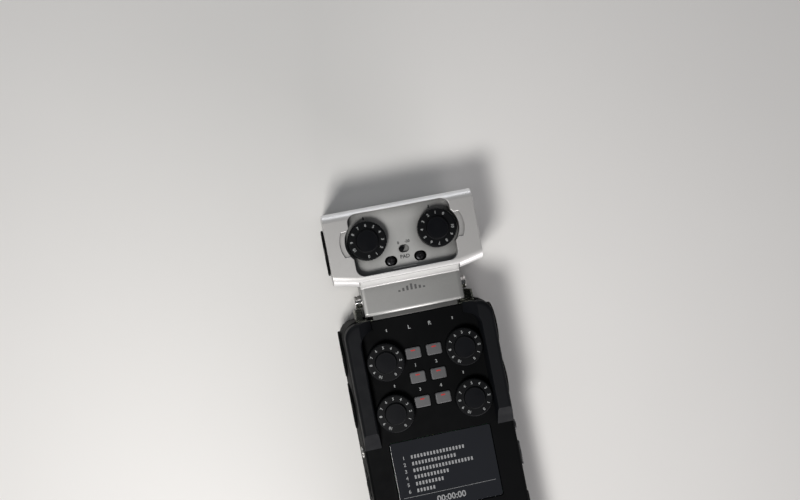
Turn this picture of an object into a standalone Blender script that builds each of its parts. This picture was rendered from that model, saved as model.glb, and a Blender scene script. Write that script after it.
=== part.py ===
"""Portable field recorder with a two-input capsule docked at its top end.

Lengths here are millimetres, and the helpers scale them to Blender's metres. The
recorder lies on its back: X runs to the right, Y from the battery end to the capsule
and Z up out of the face. Y is counted from the dock, where capsule and recorder meet.
The empty "recorder_frame" then moves everything along Y, so that the origin is the
middle of the underside.
"""

import math

import bmesh
import bpy
from mathutils import Matrix, Vector

MM = 0.001
GAP = 0.3  # clearance between neighbouring pieces
WELD = 1e-6  # metres

# Recorder body
BODY_HALF_W = 39.0
BODY_END = -152.0  # battery end
BODY_HEAD = 0.6  # end wall at the dock
SPLIT_Z = 18.0  # parting plane of the two case shells
FACE_Z = 35.0
DRAFT = 1.7  # how far the front shell leans in between its foot and its face
WALL = 2.0
CORNER_R = 9.0
BOARD_Z = 29.3
BOARD_T = 1.6

# Capsule block and neck
CAPSULE_HALF_W = 37.0
CAPSULE_NEAR = 16.7  # beside the neck; the near side tapers from there to the ends
CAPSULE_END_NEAR = 19.3
CAPSULE_FAR = 54.0
CAPSULE_LOW = 4.0
CAPSULE_TOP = 42.8
CAPSULE_R = 4.8  # rounding of the long top edges
CAPSULE_INSIDE = (20.0, 52.2)  # cavity along Y
PANEL_Z = 36.5  # top of the recessed control panel
PANEL_T = 1.2
NECK_HALF_W = 24.8
NECK_NEAR = 1.3
NECK_FACE = 36.5
NOSE_Y = 18.5  # far end of the neck's ramp, which lies in a seat in the block
TONGUE_HALF_W = 21.3
SCREW_X, SCREW_Y = 7.3, 26.1
PAD_Y, PAD_TRAVEL = 31.0, 2.4
RELEASE_Y, RELEASE_Z, RELEASE_R, RELEASE_TIP = 9.2, 25.0, 3.15, 28.3

# Dock plate
PLATE_HALF_W, PLATE_LOW, PLATE_TOP = 29.5, 9.0, 34.8
PLATE_NEAR, PLATE_FAR = -0.9, -0.3

# Input sockets: each is turned about an axis along X
JACK_Z = 18.0
JACK_FLANGE_R = 11.5
JACK_TUBE_R = 10.6
JACK_LENGTH = 18.0
JACK_PROUD = 1.1  # flange thickness
BODY_JACK_Y = (-15.0, -41.5)
CAPSULE_JACK_Y = 36.3

# Gain knobs
CAPSULE_KNOB_X, CAPSULE_KNOB_Y, CAPSULE_KNOB_R = 17.3, 37.7, 9.5
BODY_KNOB_X, BODY_KNOB_Y, BODY_KNOB_R = 19.5, (-21.6, -46.6), 9.2
SHAFT_R = 3.0

# Face controls of the recorder
TRACK_X, TRACK_Y = 5.2, (-20.0, -32.0, -44.0)
TRACK_NAMES = (("left", "right"), ("1", "2"), ("3", "4"))
TRACK_HALF_W, TRACK_HALF_H = 3.8, 2.7
TRANSPORT = {  # x, y, radius
    "stop_button": (-20.0, -111.0, 5.4),
    "play_button": (0.0, -111.0, 6.4),
    "record_button": (20.0, -111.0, 5.4),
    "rewind_button": (-11.0, -131.0, 4.8),
    "forward_button": (11.0, -131.0, 4.8),
}
BUTTON_PROUD = 1.2
SCREEN_X, SCREEN_Y = 25.5, (-97.0, -61.0)

# Side controls of the recorder, all centred on one height
SIDE_Z = 26.0
PHONES_Y, DIAL_Y, POWER_Y, USB_Y = -64.0, -80.0, -102.0, -126.0
MENU_Y, ROCKER_Y, CARD_Y = -66.0, -80.0, -112.0
CARD_HALF_W, CARD_HALF_H = 13.0, 3.6
DIAL_X, DIAL_R = -31.4, 7.9

# Underside of the recorder
SPEAKER_Y, BUSH_Y = -36.0, -70.0
DOOR_HALF_W, DOOR_HEAD = 31.0, -92.0
CELL_R, CELL_LENGTH, CELL_Z, CELL_END = 7.1, 50.0, 10.2, -146.5

DOCK_Y = -(BODY_END + CAPSULE_FAR) / 2

# Directions in which a flat outline is pushed: local x, y, z become these axes
PUSH = {
    "Z": Matrix.Identity(4),
    "X": Matrix(((0, 0, 1), (1, 0, 0), (0, 1, 0))).to_4x4(),
    "Y": Matrix(((1, 0, 0), (0, 0, -1), (0, 1, 0))).to_4x4(),
}
TURN = {
    "Z": Matrix.Identity(4),
    "X": Matrix.Rotation(math.pi / 2, 4, "Y"),
    "-X": Matrix.Rotation(-math.pi / 2, 4, "Y"),
    "Y": Matrix.Rotation(-math.pi / 2, 4, "X"),
}


# ---------------------------------------------------------------- scene and materials


def clear_scene():
    for obj in list(bpy.data.objects):
        bpy.data.objects.remove(obj)


def add_collection(name):
    collection = bpy.data.collections.new(name)
    bpy.context.scene.collection.children.link(collection)
    return collection


clear_scene()
PARTS = add_collection("field_recorder")
CUTTERS = add_collection("cutters")
FRAME = bpy.data.objects.new("recorder_frame", None)
FRAME.location = (0, DOCK_Y * MM, 0)
PARTS.objects.link(FRAME)


def make_material(name, colour, roughness, metallic=0.0):
    made = bpy.data.materials.new(name)
    made.use_nodes = True
    shader = made.node_tree.nodes["Principled BSDF"]
    shader.inputs["Base Color"].default_value = (*colour, 1)
    shader.inputs["Roughness"].default_value = roughness
    shader.inputs["Metallic"].default_value = metallic
    return made


SILVER = make_material("silver_paint", (0.62, 0.62, 0.6), 0.4, 0.5)
BLACK = make_material("black_plastic", (0.02, 0.02, 0.022), 0.5)
RUBBER = make_material("black_rubber", (0.03, 0.03, 0.035), 0.75)
STEEL = make_material("plated_steel", (0.75, 0.74, 0.7), 0.25, 1.0)
BRASS = make_material("brass", (0.7, 0.5, 0.2), 0.35, 1.0)
BOARD = make_material("circuit_board", (0.02, 0.16, 0.07), 0.5)
GLASS = make_material("screen_glass", (0.03, 0.03, 0.035), 0.1)
GREY = make_material("grey_keycap", (0.3, 0.3, 0.31), 0.5)
RED = make_material("record_red", (0.6, 0.03, 0.03), 0.4)
CELL = make_material("cell_wrap", (0.05, 0.05, 0.06), 0.35, 0.3)


# ---------------------------------------------------------------- shape helpers


def add_object(name, mesh, at=(0, 0, 0), material=None):
    """Links an object. Without a material it is a cutter, which isn't rendered."""
    obj = bpy.data.objects.new(name, mesh)
    obj.location = Vector(at) * MM
    obj.parent = FRAME
    if material is None:
        CUTTERS.objects.link(obj)
        obj.hide_render = True
        obj.display_type = "WIRE"
    else:
        PARTS.objects.link(obj)
        mesh.materials.append(material)
    return obj


def mesh_from(bm, name):
    mesh = bpy.data.meshes.new(name)
    bm.to_mesh(mesh)
    bm.free()
    return mesh


def block(name, low, high, material=None, at=None):
    """Box between two corners. Its origin is its middle, unless at says otherwise."""
    low, high = Vector(low), Vector(high)
    at = (low + high) / 2 if at is None else Vector(at)
    bm = bmesh.new()
    bmesh.ops.create_cube(bm, size=1)
    bmesh.ops.scale(bm, vec=(high - low) * MM, verts=bm.verts)
    bmesh.ops.translate(bm, vec=((low + high) / 2 - at) * MM, verts=bm.verts)
    return add_object(name, mesh_from(bm, name), at, material)


def drum(name, centre, radius, length, along="Z", material=None, sides=24):
    """Cylinder centred on a point."""
    bm = bmesh.new()
    bmesh.ops.create_cone(
        bm,
        cap_ends=True,
        segments=sides,
        radius1=radius * MM,
        radius2=radius * MM,
        depth=length * MM,
        matrix=TURN[along],
    )
    return add_object(name, mesh_from(bm, name), centre, material)


def turned(name, profile, at, along="Z", material=None, sides=24):
    """Body of revolution. The profile is (radius, height) pairs, running down the
    outside and back up the inside, about an axis through at."""
    bm = bmesh.new()
    verts = [bm.verts.new((r * MM, 0, h * MM)) for r, h in profile]
    for a, b in zip(verts, verts[1:] + verts[:1]):
        if a.co.x > 0 or b.co.x > 0:
            bm.edges.new((a, b))
    obj = add_object(name, mesh_from(bm, name), at, material)
    obj.rotation_euler = TURN[along].to_euler()
    screw = obj.modifiers.new("turn", "SCREW")
    screw.axis = "Z"
    screw.steps = screw.render_steps = sides
    screw.use_merge_vertices = True
    screw.merge_threshold = 1e-5
    screw.use_smooth_shade = False
    return obj


def slab(name, outline, low, high, along="Z", material=None):
    """Flat outline pushed from low to high. Along Z the outline is (x, y), along X it
    is (y, z) and along Y it is (x, z)."""
    curve = bpy.data.curves.new(name, "CURVE")
    curve.dimensions = "2D"
    curve.fill_mode = "BOTH"
    curve.extrude = (high - low) / 2 * MM
    spline = curve.splines.new("POLY")
    spline.points.add(len(outline) - 1)
    for point, (a, b) in zip(spline.points, outline):
        point.co = (a * MM, b * MM, 0, 1)
    spline.use_cyclic_u = True
    guide = bpy.data.objects.new(name + "_outline", curve)
    CUTTERS.objects.link(guide)
    graph = bpy.context.evaluated_depsgraph_get()
    mesh = bpy.data.meshes.new_from_object(guide.evaluated_get(graph))
    bpy.data.objects.remove(guide)
    bm = bmesh.new()
    bm.from_mesh(mesh)
    bmesh.ops.remove_doubles(bm, verts=bm.verts, dist=WELD)
    flat = math.radians(1)
    bmesh.ops.dissolve_limit(bm, angle_limit=flat, verts=bm.verts, edges=bm.edges)
    bmesh.ops.recalc_face_normals(bm, faces=bm.faces)
    bmesh.ops.transform(bm, matrix=PUSH[along], verts=bm.verts)
    bm.to_mesh(mesh)
    bm.free()
    middle = (low + high) / 2
    at = [middle if axis == along else 0 for axis in "XYZ"]
    return add_object(name, mesh, at, material)


def arc(cx, cy, radius, start, end, steps):
    """Points of an arc, with its angles in degrees."""
    turns = [math.radians(start + (end - start) * i / steps) for i in range(steps + 1)]
    return [(cx + radius * math.cos(t), cy + radius * math.sin(t)) for t in turns]


def rounded(x0, x1, y0, y1, *radii, steps=4):
    """Rectangle with round corners, anticlockwise from the corner at (x1, y0). One
    radius serves all corners, or four are given in that order."""
    radii = radii * 4 if len(radii) == 1 else radii
    corners = ((x1, y0, -1, 1), (x1, y1, -1, -1), (x0, y1, 1, -1), (x0, y0, 1, 1))
    points = []
    for i, ((x, y, inward_x, inward_y), r) in enumerate(zip(corners, radii)):
        start = -90 + 90 * i
        points += arc(x + inward_x * r, y + inward_y * r, r, start, start + 90, steps)
    return points


def obround(cx, cy, half_length, half_width, steps=6):
    """Slot outline with round ends, its length along x."""
    straight = half_length - half_width
    return arc(cx + straight, cy, half_width, -90, 90, steps) + arc(
        cx - straight, cy, half_width, 90, 270, steps
    )


def boolean(target, operation, others):
    for other in others:
        modifier = target.modifiers.new(other.name, "BOOLEAN")
        modifier.operation = operation
        modifier.object = other
        modifier.solver = "EXACT"


def cut(target, *cutters):
    boolean(target, "DIFFERENCE", cutters)


def join(target, *others):
    boolean(target, "UNION", others)


def bevel(obj, width, segments=2, keep=None):
    """Rounds the sharp edges, or only those for which keep(edge) is true."""
    bm = bmesh.new()
    bm.from_mesh(obj.data)
    weight = bm.edges.layers.float.new("bevel_weight_edge")
    for edge in bm.edges:
        sharp = edge.is_manifold and edge.calc_face_angle() > math.radians(40)
        if sharp and (keep is None or keep(edge)):
            edge[weight] = 1
    bm.to_mesh(obj.data)
    bm.free()
    modifier = obj.modifiers.new("bevel", "BEVEL")
    modifier.limit_method = "WEIGHT"
    modifier.width = width * MM
    modifier.segments = segments
    modifier.use_clamp_overlap = True


def top_edges(edge):
    """True for an edge that lies in the highest plane of a centred solid."""
    return all(vert.co.z > 0 for vert in edge.verts)


def lean_in(obj, across, along):
    """Draws the top of a solid in, by scaling its upper points about the Z axis."""
    for vert in obj.data.vertices:
        if vert.co.z > 0:
            vert.co.x *= across
            vert.co.y *= along


def bottom_edges(edge):
    return all(vert.co.z < 0 for vert in edge.verts)


# ---------------------------------------------------------------- shared pieces


def input_jack(name, side, face_x, y):
    """Combination socket: a flange outside the wall, a ring-shaped groove for a round
    plug shell and a bore in the middle for a long plug."""
    insert_r, groove_r, bore_r = 7.6, 9.4, 3.25
    back = JACK_PROUD - JACK_LENGTH
    profile = (
        (groove_r, JACK_PROUD),
        (JACK_FLANGE_R, JACK_PROUD),
        (JACK_FLANGE_R, 0),
        (JACK_TUBE_R, 0),
        (JACK_TUBE_R, back),
        (0, back),
        (0, back + 1.5),
        (bore_r, back + 1.5),
        (bore_r, 0.2),
        (insert_r, 0.2),
        (insert_r, -12.5),
        (groove_r, -12.5),
    )
    along = "X" if side > 0 else "-X"
    return turned(name, profile, (side * face_x, y, JACK_Z), along, BLACK, sides=20)


def gain_knob(name, x, y, radius, low, cap_top):
    """Numbered skirt with a raised flat cap, and a blind bore for the pot's shaft."""
    cap_r = 0.56 * radius
    skirt_top = cap_top - 1.6
    profile = (
        (0, cap_top),
        (cap_r - 0.7, cap_top),
        (cap_r, cap_top - 0.5),
        (cap_r + 0.3, cap_top - 1.1),
        (radius - 0.5, skirt_top),
        (radius, skirt_top - 0.5),
        (radius, low),
        (SHAFT_R + 0.2, low),
        (SHAFT_R + 0.2, cap_top - 1.8),
        (0, cap_top - 1.8),
    )
    heights = tuple((r, h - low) for r, h in profile)
    return turned(name, heights, (x, y, low), "Z", BLACK, sides=28)


# ---------------------------------------------------------------- capsule


def face_opening(grow):
    """Cutters' outlines for the capsule's face: a round-cornered window and a round
    bay for each knob, all grown by the same amount."""
    half, near, far, corner = 25.0 + grow, 21.1 - grow, 51.7 + grow, 4.5 + grow
    window = rounded(-half, half, near, far, corner, steps=5)
    bay = CAPSULE_KNOB_R + 1.4
    bays = [
        arc(side * CAPSULE_KNOB_X, CAPSULE_KNOB_Y, bay + grow, 0, 345, 23)
        for side in (-1, 1)
    ]
    return [window, *bays]


def opening_slab(name, grow, low, high, material=None):
    """The face opening as one solid."""
    window, *bays = face_opening(grow)
    whole = slab(name, window, low, high, material=material)
    for i, bay in enumerate(bays):
        join(whole, slab(f"{name}_bay_{i}", bay, low, high))
    return whole


def finger_step(side):
    """Shallow crescent outside a knob's bay, cut off square at both ends."""
    radius, reach, depth = 13.3, 6.2, 0.9
    tilt = math.degrees(math.asin(reach / radius))
    if side > 0:
        curve = arc(CAPSULE_KNOB_X, CAPSULE_KNOB_Y, radius, -tilt, tilt, 8)
    else:
        curve = arc(-CAPSULE_KNOB_X, CAPSULE_KNOB_Y, radius, 180 - tilt, 180 + tilt, 8)
    inner_x = side * CAPSULE_KNOB_X
    outline = curve + [(inner_x, curve[-1][1]), (inner_x, curve[0][1])]
    return slab(f"cut_step_{side}", outline, CAPSULE_TOP - depth, CAPSULE_TOP + 1)


def capsule_plan(inset):
    """Plan of the block. Its near side is straight beside the neck and then tapers."""
    near, end_near = CAPSULE_NEAR + inset, CAPSULE_END_NEAR + inset
    half, far = CAPSULE_HALF_W - inset, CAPSULE_FAR - inset
    return [
        (-NECK_HALF_W, near),
        (NECK_HALF_W, near),
        (half, end_near),
        (half, far),
        (-half, far),
        (-half, end_near),
    ]


def long_top_edges(edge):
    """True for the top edges that run more or less along X."""
    along = edge.verts[0].co - edge.verts[1].co
    return top_edges(edge) and abs(along.x) > abs(along.y)


def capsule_housing():
    low = CAPSULE_LOW + 1.2
    housing = slab(
        "capsule_housing", capsule_plan(0), low, CAPSULE_TOP, material=SILVER
    )
    bevel(housing, CAPSULE_R, 5, long_top_edges)
    cavity = block(
        "cut_capsule_cavity",
        (-CAPSULE_HALF_W + 1.8, CAPSULE_INSIDE[0], low - 5),
        (CAPSULE_HALF_W - 1.8, CAPSULE_INSIDE[1], CAPSULE_TOP - 1.5),
    )
    bevel(cavity, CAPSULE_R - 1.2, 3, long_top_edges)
    rim = opening_slab("keep_rim", 1.2, PANEL_Z + GAP, CAPSULE_TOP)
    cut(cavity, rim)
    cut(housing, cavity)
    cut(housing, opening_slab("cut_face_opening", 0, PANEL_Z - 2, CAPSULE_TOP + 5))
    for side in (-1, 1):
        cut(housing, finger_step(side))
        hole = (side * CAPSULE_HALF_W, CAPSULE_JACK_Y, JACK_Z)
        cut(housing, drum(f"cut_jack_{side}", hole, JACK_TUBE_R + GAP, 8, "X"))
    half = NECK_HALF_W + GAP
    seat = block("cut_neck_seat", (-half, 12, 37.4), (half, NOSE_Y + GAP, 50))
    wires = block("cut_wire_slot", (-12, CAPSULE_NEAR - 2, 18), (12, 22, 28))
    cut(housing, seat, wires)


def capsule_base():
    """Bottom plate, with a step that fits inside the housing."""
    low = CAPSULE_LOW
    base = slab("capsule_base", capsule_plan(0.2), low, low + 0.9, material=BLACK)
    step = block(
        "join_base_step",
        (-CAPSULE_HALF_W + 2.2, CAPSULE_INSIDE[0] + 0.4, low + 0.5),
        (CAPSULE_HALF_W - 2.2, CAPSULE_INSIDE[1] - 0.4, low + 2.2),
    )
    join(base, step)


def capsule_panel():
    """Recessed control panel below the face opening."""
    near, far = CAPSULE_INSIDE[0] + GAP, CAPSULE_INSIDE[1] - GAP
    outline = rounded(-29.5, 29.5, near, far, 4, steps=3)
    panel = slab("capsule_panel", outline, PANEL_Z - PANEL_T, PANEL_Z, material=SILVER)
    for side in (-1, 1):
        shaft = (side * CAPSULE_KNOB_X, CAPSULE_KNOB_Y, PANEL_Z)
        cut(panel, drum(f"cut_panel_shaft_{side}", shaft, SHAFT_R + 0.5, 6))
        recess = obround(side * SCREW_X, SCREW_Y, 3.1, 2.45)
        cut(panel, slab(f"cut_screw_{side}", recess, PANEL_Z - 3, PANEL_Z + 2))
    slot = obround(0, PAD_Y, 2.6, 1.9)
    cut(panel, slab("cut_pad_slot", slot, PANEL_Z - 3, PANEL_Z + 2))


def panel_screws():
    """Pan-head screws that hold the panel, with a cross recess."""
    head_top, head_r, shank_r, tip = PANEL_Z - 0.7, 2.2, 1.2, 26.0
    profile = (
        (0, head_top - tip),
        (1.4, head_top - tip),
        (head_r, head_top - tip - 0.8),
        (head_r, head_top - tip - 2.0),
        (shank_r, head_top - tip - 2.0),
        (shank_r, 0.8),
        (0.3, 0),
        (0, 0),
    )
    for side, word in ((-1, "left"), (1, "right")):
        at = (side * SCREW_X, SCREW_Y, tip)
        turned(f"panel_screw_{word}", profile, at, "Z", STEEL, sides=16)


def capsule_pad_slider():
    """Attenuator slider: a round nub on a flat shoe below the panel. It rests at the
    left end of its slot."""
    x = -PAD_TRAVEL / 2
    shoe = block(
        "capsule_pad_slider",
        (x - 2.1, PAD_Y - 1.5, PANEL_Z - PANEL_T - 1.6),
        (x + 2.1, PAD_Y + 1.5, PANEL_Z - PANEL_T - GAP),
        BLACK,
    )
    nub = (x, PAD_Y, PANEL_Z - 0.4)
    join(shoe, drum("join_pad_nub", nub, 1.2, 3.0, sides=16))


def capsule_board():
    """Circuit board with the attenuator's switch body on it."""
    board = block(
        "capsule_board",
        (-33, CAPSULE_INSIDE[0] + 1, BOARD_Z),
        (33, CAPSULE_INSIDE[1] - 1, BOARD_Z + BOARD_T),
        BOARD,
    )
    switch = block(
        "join_pad_switch",
        (-4, PAD_Y - 2, BOARD_Z + 1),
        (4, PAD_Y + 2, PANEL_Z - PANEL_T - 1.9),
    )
    join(board, switch)
    for side in (-1, 1):
        at = (side * SCREW_X, SCREW_Y, BOARD_Z)
        cut(board, drum(f"cut_board_screw_{side}", at, 1.6, 6, sides=12))


def gain_pot(name, side):
    """Potentiometer on the capsule's board, with its shaft up through the panel."""
    x, y, half = side * CAPSULE_KNOB_X, CAPSULE_KNOB_Y, 5.6
    low = BOARD_Z + BOARD_T + 0.2
    body = block(
        name, (x - half, y - half, low), (x + half, y + half, PANEL_Z - 1.6), STEEL
    )
    shaft_top = CAPSULE_TOP - 1.3
    middle = (low + 1 + shaft_top) / 2
    length = shaft_top - low - 1
    join(body, drum(f"join_{name}_shaft", (x, y, middle), SHAFT_R, length, sides=20))


def capsule_neck():
    """Hollow casting between block and dock: a ramp up onto the block, a flat face and
    a narrower tongue that meets the recorder."""
    back, low, face = CAPSULE_NEAR - GAP, 10.0, NECK_FACE
    profile = [
        (NECK_NEAR, low),
        (back, low),
        (back, 37.8),
        (NOSE_Y, 37.8),
        (NOSE_Y, 41.4),
        (NOSE_Y - 0.3, 41.4),
        (15.9, face + 0.4),
        (15.2, face),
    ]
    profile += arc(NECK_NEAR + 1.3, face - 1.3, 1.3, 90, 180, 4)
    neck = slab("capsule_neck", profile, -NECK_HALF_W, NECK_HALF_W, "X", SILVER)
    tongue = block(
        "join_tongue",
        (-TONGUE_HALF_W, PLATE_NEAR, low + 2),
        (TONGUE_HALF_W, NECK_NEAR + 1, face - 1.5),
    )
    join(neck, tongue)
    cavity = block(
        "cut_neck_cavity", (-23.0, 3.6, low + 2), (23.0, back + 2, face - 2.4)
    )
    cut(neck, cavity)
    plug_hole = block("cut_plug_hole", (-10.4, -3, 19.9), (10.4, 8, 26.1))
    cut(neck, plug_hole)
    bore = (0, RELEASE_Y, RELEASE_Z)
    cut(neck, drum("cut_release", bore, RELEASE_R + GAP, 2 * NECK_HALF_W + 6, "X"))


def release_buttons():
    """Plated push buttons in the neck's sides, kept in by a flange."""
    profile = (
        (0, 0),
        (RELEASE_R - 0.5, 0),
        (RELEASE_R, -0.5),
        (RELEASE_R, -5.5),
        (4.2, -5.5),
        (4.2, -6.7),
        (1.5, -6.7),
        (1.5, -10.0),
        (0, -10.0),
    )
    for side, word, along in ((-1, "left", "-X"), (1, "right", "X")):
        at = (side * RELEASE_TIP, RELEASE_Y, RELEASE_Z)
        turned(f"release_button_{word}", profile, at, along, STEEL, sides=20)


def capsule_plug():
    block("capsule_plug", (-10, -8.8, 20.3), (10, 6.5, 25.7), BLACK)


def capsule():
    capsule_housing()
    capsule_base()
    capsule_panel()
    panel_screws()
    capsule_pad_slider()
    capsule_board()
    capsule_neck()
    release_buttons()
    capsule_plug()
    for side, number in ((-1, 5), (1, 6)):
        face_x = CAPSULE_HALF_W + 0.2
        input_jack(f"input_jack_{number}", side, face_x, CAPSULE_JACK_Y)
        gain_pot(f"gain_pot_{number}", side)
        gain_knob(
            f"gain_knob_{number}",
            side * CAPSULE_KNOB_X,
            CAPSULE_KNOB_Y,
            CAPSULE_KNOB_R,
            PANEL_Z + 0.8,
            CAPSULE_TOP + 1.0,
        )


# ---------------------------------------------------------------- recorder case


def case_outline(inset=0.0, head=BODY_HEAD, steps=6):
    return rounded(
        -BODY_HALF_W + inset,
        BODY_HALF_W - inset,
        BODY_END + inset,
        head,
        CORNER_R - inset,
        steps=steps,
    )


def shared_cutters():
    """Bores and shallow flange seats for the four sockets in the case's sides, and the
    dock's seat in the head end. Both shells take part of each."""
    half = PLATE_HALF_W + GAP
    made = [
        block(
            "cut_dock_seat", (-half, PLATE_NEAR - GAP, PLATE_LOW - GAP), (half, 3, 50)
        )
    ]
    for side in (-1, 1):
        for i, y in enumerate(BODY_JACK_Y):
            bore = (side * BODY_HALF_W, y, JACK_Z)
            made.append(drum(f"cut_bore_{side}_{i}", bore, JACK_TUBE_R + GAP, 9, "X"))
            seat = (side * (BODY_HALF_W + 2.0), y, JACK_Z)
            made.append(drum(f"cut_seat_{side}_{i}", seat, JACK_FLANGE_R + GAP, 6, "X"))
    return made


def back_case(shared):
    case = slab("back_case", case_outline(), 0, SPLIT_Z - GAP, material=BLACK)
    bevel(case, 2.5, 3, bottom_edges)
    cut(case, slab("cut_back_cavity", case_outline(WALL, -2.4), WALL, SPLIT_Z + 3))
    cut(case, *shared)
    for i in range(5):
        y = SPEAKER_Y - 6 + 3 * i
        cut(case, block(f"cut_grille_{i}", (-7, y - 0.6, -1), (7, y + 0.6, WALL + 1)))
    cut(case, drum("cut_bush", (0, BUSH_Y, WALL), 5.5, 8))
    door_end = BODY_END - 2
    mouth = (DOOR_HALF_W + GAP, DOOR_HEAD + GAP)
    cut(case, block("cut_bay", (-mouth[0], door_end, -1), (*mouth, WALL + 1)))
    rails = (DOOR_HALF_W + 2, DOOR_HEAD + 2)
    cut(case, block("cut_rails", (-rails[0], door_end, 1.0), (*rails, WALL + 0.6)))


def battery_door():
    """Sliding cover of the battery bay, with tongues that run in the case's rails."""
    end = BODY_END + 0.2
    door = block(
        "battery_door", (-DOOR_HALF_W, end, 0.3), (DOOR_HALF_W, DOOR_HEAD, 1.6), BLACK
    )
    tongues = block(
        "join_door_tongues",
        (-DOOR_HALF_W - 1.6, end, 1.3),
        (DOOR_HALF_W + 1.6, DOOR_HEAD + 1.6, 2.2),
    )
    join(door, tongues)


def face_cutters():
    """Every hole in the front shell's top wall."""
    low, high = FACE_Z - WALL - 2, FACE_Z + 2
    half_w, half_h = TRACK_HALF_W + GAP, TRACK_HALF_H + GAP
    made = [
        slab(
            "cut_screen",
            rounded(-SCREEN_X, SCREEN_X, *SCREEN_Y, 1.5, steps=2),
            low,
            high,
        )
    ]
    for side in (-1, 1):
        for row, y in enumerate(TRACK_Y):
            x = side * TRACK_X
            corner = (x - half_w, y - half_h, low)
            opposite = (x + half_w, y + half_h, high)
            made.append(block(f"cut_track_{side}_{row}", corner, opposite))
        for row, y in enumerate(BODY_KNOB_Y):
            at = (side * BODY_KNOB_X, y, FACE_Z)
            made.append(drum(f"cut_shaft_{side}_{row}", at, SHAFT_R + 0.5, 8, sides=16))
    for name, (x, y, radius) in TRANSPORT.items():
        made.append(drum(f"cut_{name}", (x, y, FACE_Z), radius + GAP, 8))
    return made


def side_cutters():
    """Every hole in the front shell's side walls, apart from the input sockets."""
    left, right = -BODY_HALF_W, BODY_HALF_W
    z = SIDE_Z

    def opening(name, wall_x, y, half_y, half_z, depth=4.0):
        low = (wall_x - depth, y - half_y, z - half_z)
        high = (wall_x + depth, y + half_y, z + half_z)
        return block(name, low, high)

    return [
        drum("cut_phones", (left, PHONES_Y, z), 3.1, 10, "X", sides=20),
        opening("cut_dial", left, DIAL_Y, 6.6, 2.1),
        opening("cut_power_seat", left - 2, POWER_Y, 7.4, 2.6, 3.3),
        opening("cut_power_slot", left, POWER_Y, 4.4, 1.6, 5.0),
        opening("cut_usb", left, USB_Y, 4.2, 1.9),
        drum("cut_menu", (right, MENU_Y, z), 3.3, 10, "X", sides=20),
        opening("cut_rocker", right, ROCKER_Y, 6.6, 2.6),
        opening("cut_card", right, CARD_Y, CARD_HALF_W + 0.4, CARD_HALF_H + 0.4),
    ]


def front_case(shared):
    case = slab("front_case", case_outline(), SPLIT_Z, FACE_Z, material=BLACK)
    lean_in(case, 1 - DRAFT / BODY_HALF_W, 1 + DRAFT / BODY_END)
    bevel(case, 1.4, 2, top_edges)
    inside = case_outline(WALL + 1.2, -2.4)
    cut(case, slab("cut_front_cavity", inside, SPLIT_Z - 3, FACE_Z - WALL))
    cut(case, *shared)
    cut(case, *face_cutters())
    cut(case, *side_cutters())
    plug = block("cut_case_plug", (-10.5, -5, 19.7), (10.5, 3, 26.3))
    cut(case, plug)


def outer_top_edges(edge):
    """True for a guard's top edges on the outer side."""
    x, y = (sum(vert.co[i] for vert in edge.verts) / 2 / MM for i in (0, 1))
    return top_edges(edge) and (abs(x) > 33 or y > -3.2)


def side_guard(name, side):
    """Raised rail beside the knobs. It turns the corner at the dock end and slopes
    down to the face at both of its ends."""
    outer, inner, head, foot, top = 37.2, 29.7, -0.5, -62.0, 42.6
    arm_x, arm_y = 23.0, -5.4
    outline = [(inner, foot), (outer, foot)]
    outline += arc(outer - 7.2, head - 7.2, 7.2, 0, 90, 6)
    outline += [(arm_x, head), (arm_x, arm_y)]
    outline += arc(inner - 6.5, arm_y - 6.5, 6.5, 90, 0, 5)
    if side < 0:
        outline = [(-x, y) for x, y in reversed(outline)]
    guard = slab(name, outline, FACE_Z + GAP, top, material=RUBBER)
    bevel(guard, 1.8, 2, outer_top_edges)
    ends = (
        ("foot", (side * 35, foot), (math.radians(38), 0, 0)),
        ("arm", (side * arm_x, head), (0, -side * math.radians(46), 0)),
    )
    for word, (x, y), tilt in ends:
        low = (x - 16, y - 16, FACE_Z + 1.2)
        high = (x + 16, y + 16, FACE_Z + 16)
        ramp = block(f"cut_{name}_{word}", low, high, at=(x, y, FACE_Z + 1.2))
        ramp.rotation_euler = tilt
        cut(guard, ramp)


def dock_plate():
    """Plated collar of the dock: a web with a notch for the capsule's tongue, and on
    either side of the neck a lower cheek with a deep pocket in it."""
    outer, inner, cheek = PLATE_HALF_W, NECK_HALF_W + 0.5, 5.3
    outline = [(-outer, PLATE_NEAR), (outer, PLATE_NEAR), (outer, cheek)]
    outline += [(inner, cheek), (inner, PLATE_FAR), (-inner, PLATE_FAR)]
    outline += [(-inner, cheek), (-outer, cheek)]
    plate = slab("dock_plate", outline, PLATE_LOW, PLATE_TOP, material=STEEL)
    half = TONGUE_HALF_W + GAP
    notch = block(
        "cut_plate_notch", (-half, -3, PLATE_LOW + 2.4), (half, 3, PLATE_TOP + 3)
    )
    cheeks = block(
        "cut_plate_cheeks", (-32, 0.1, PLATE_TOP - 1.6), (32, 8, PLATE_TOP + 3)
    )
    cut(plate, notch, cheeks)
    for side in (-1, 1):
        x0, x1 = sorted((side * (inner - 1), side * (outer - 0.8)))
        pocket = (x0, PLATE_FAR, PLATE_LOW + 5), (x1, 8, PLATE_TOP + 3)
        cut(plate, block(f"cut_plate_pocket_{side}", *pocket))


def dock_socket():
    socket = block("dock_socket", (-13, -13, 18.6), (13, -2.8, 27.4), BLACK)
    cut(socket, block("cut_socket", (-10.4, -9.5, 19.9), (10.4, 0, 26.1)))


# ---------------------------------------------------------------- recorder insides


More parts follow.
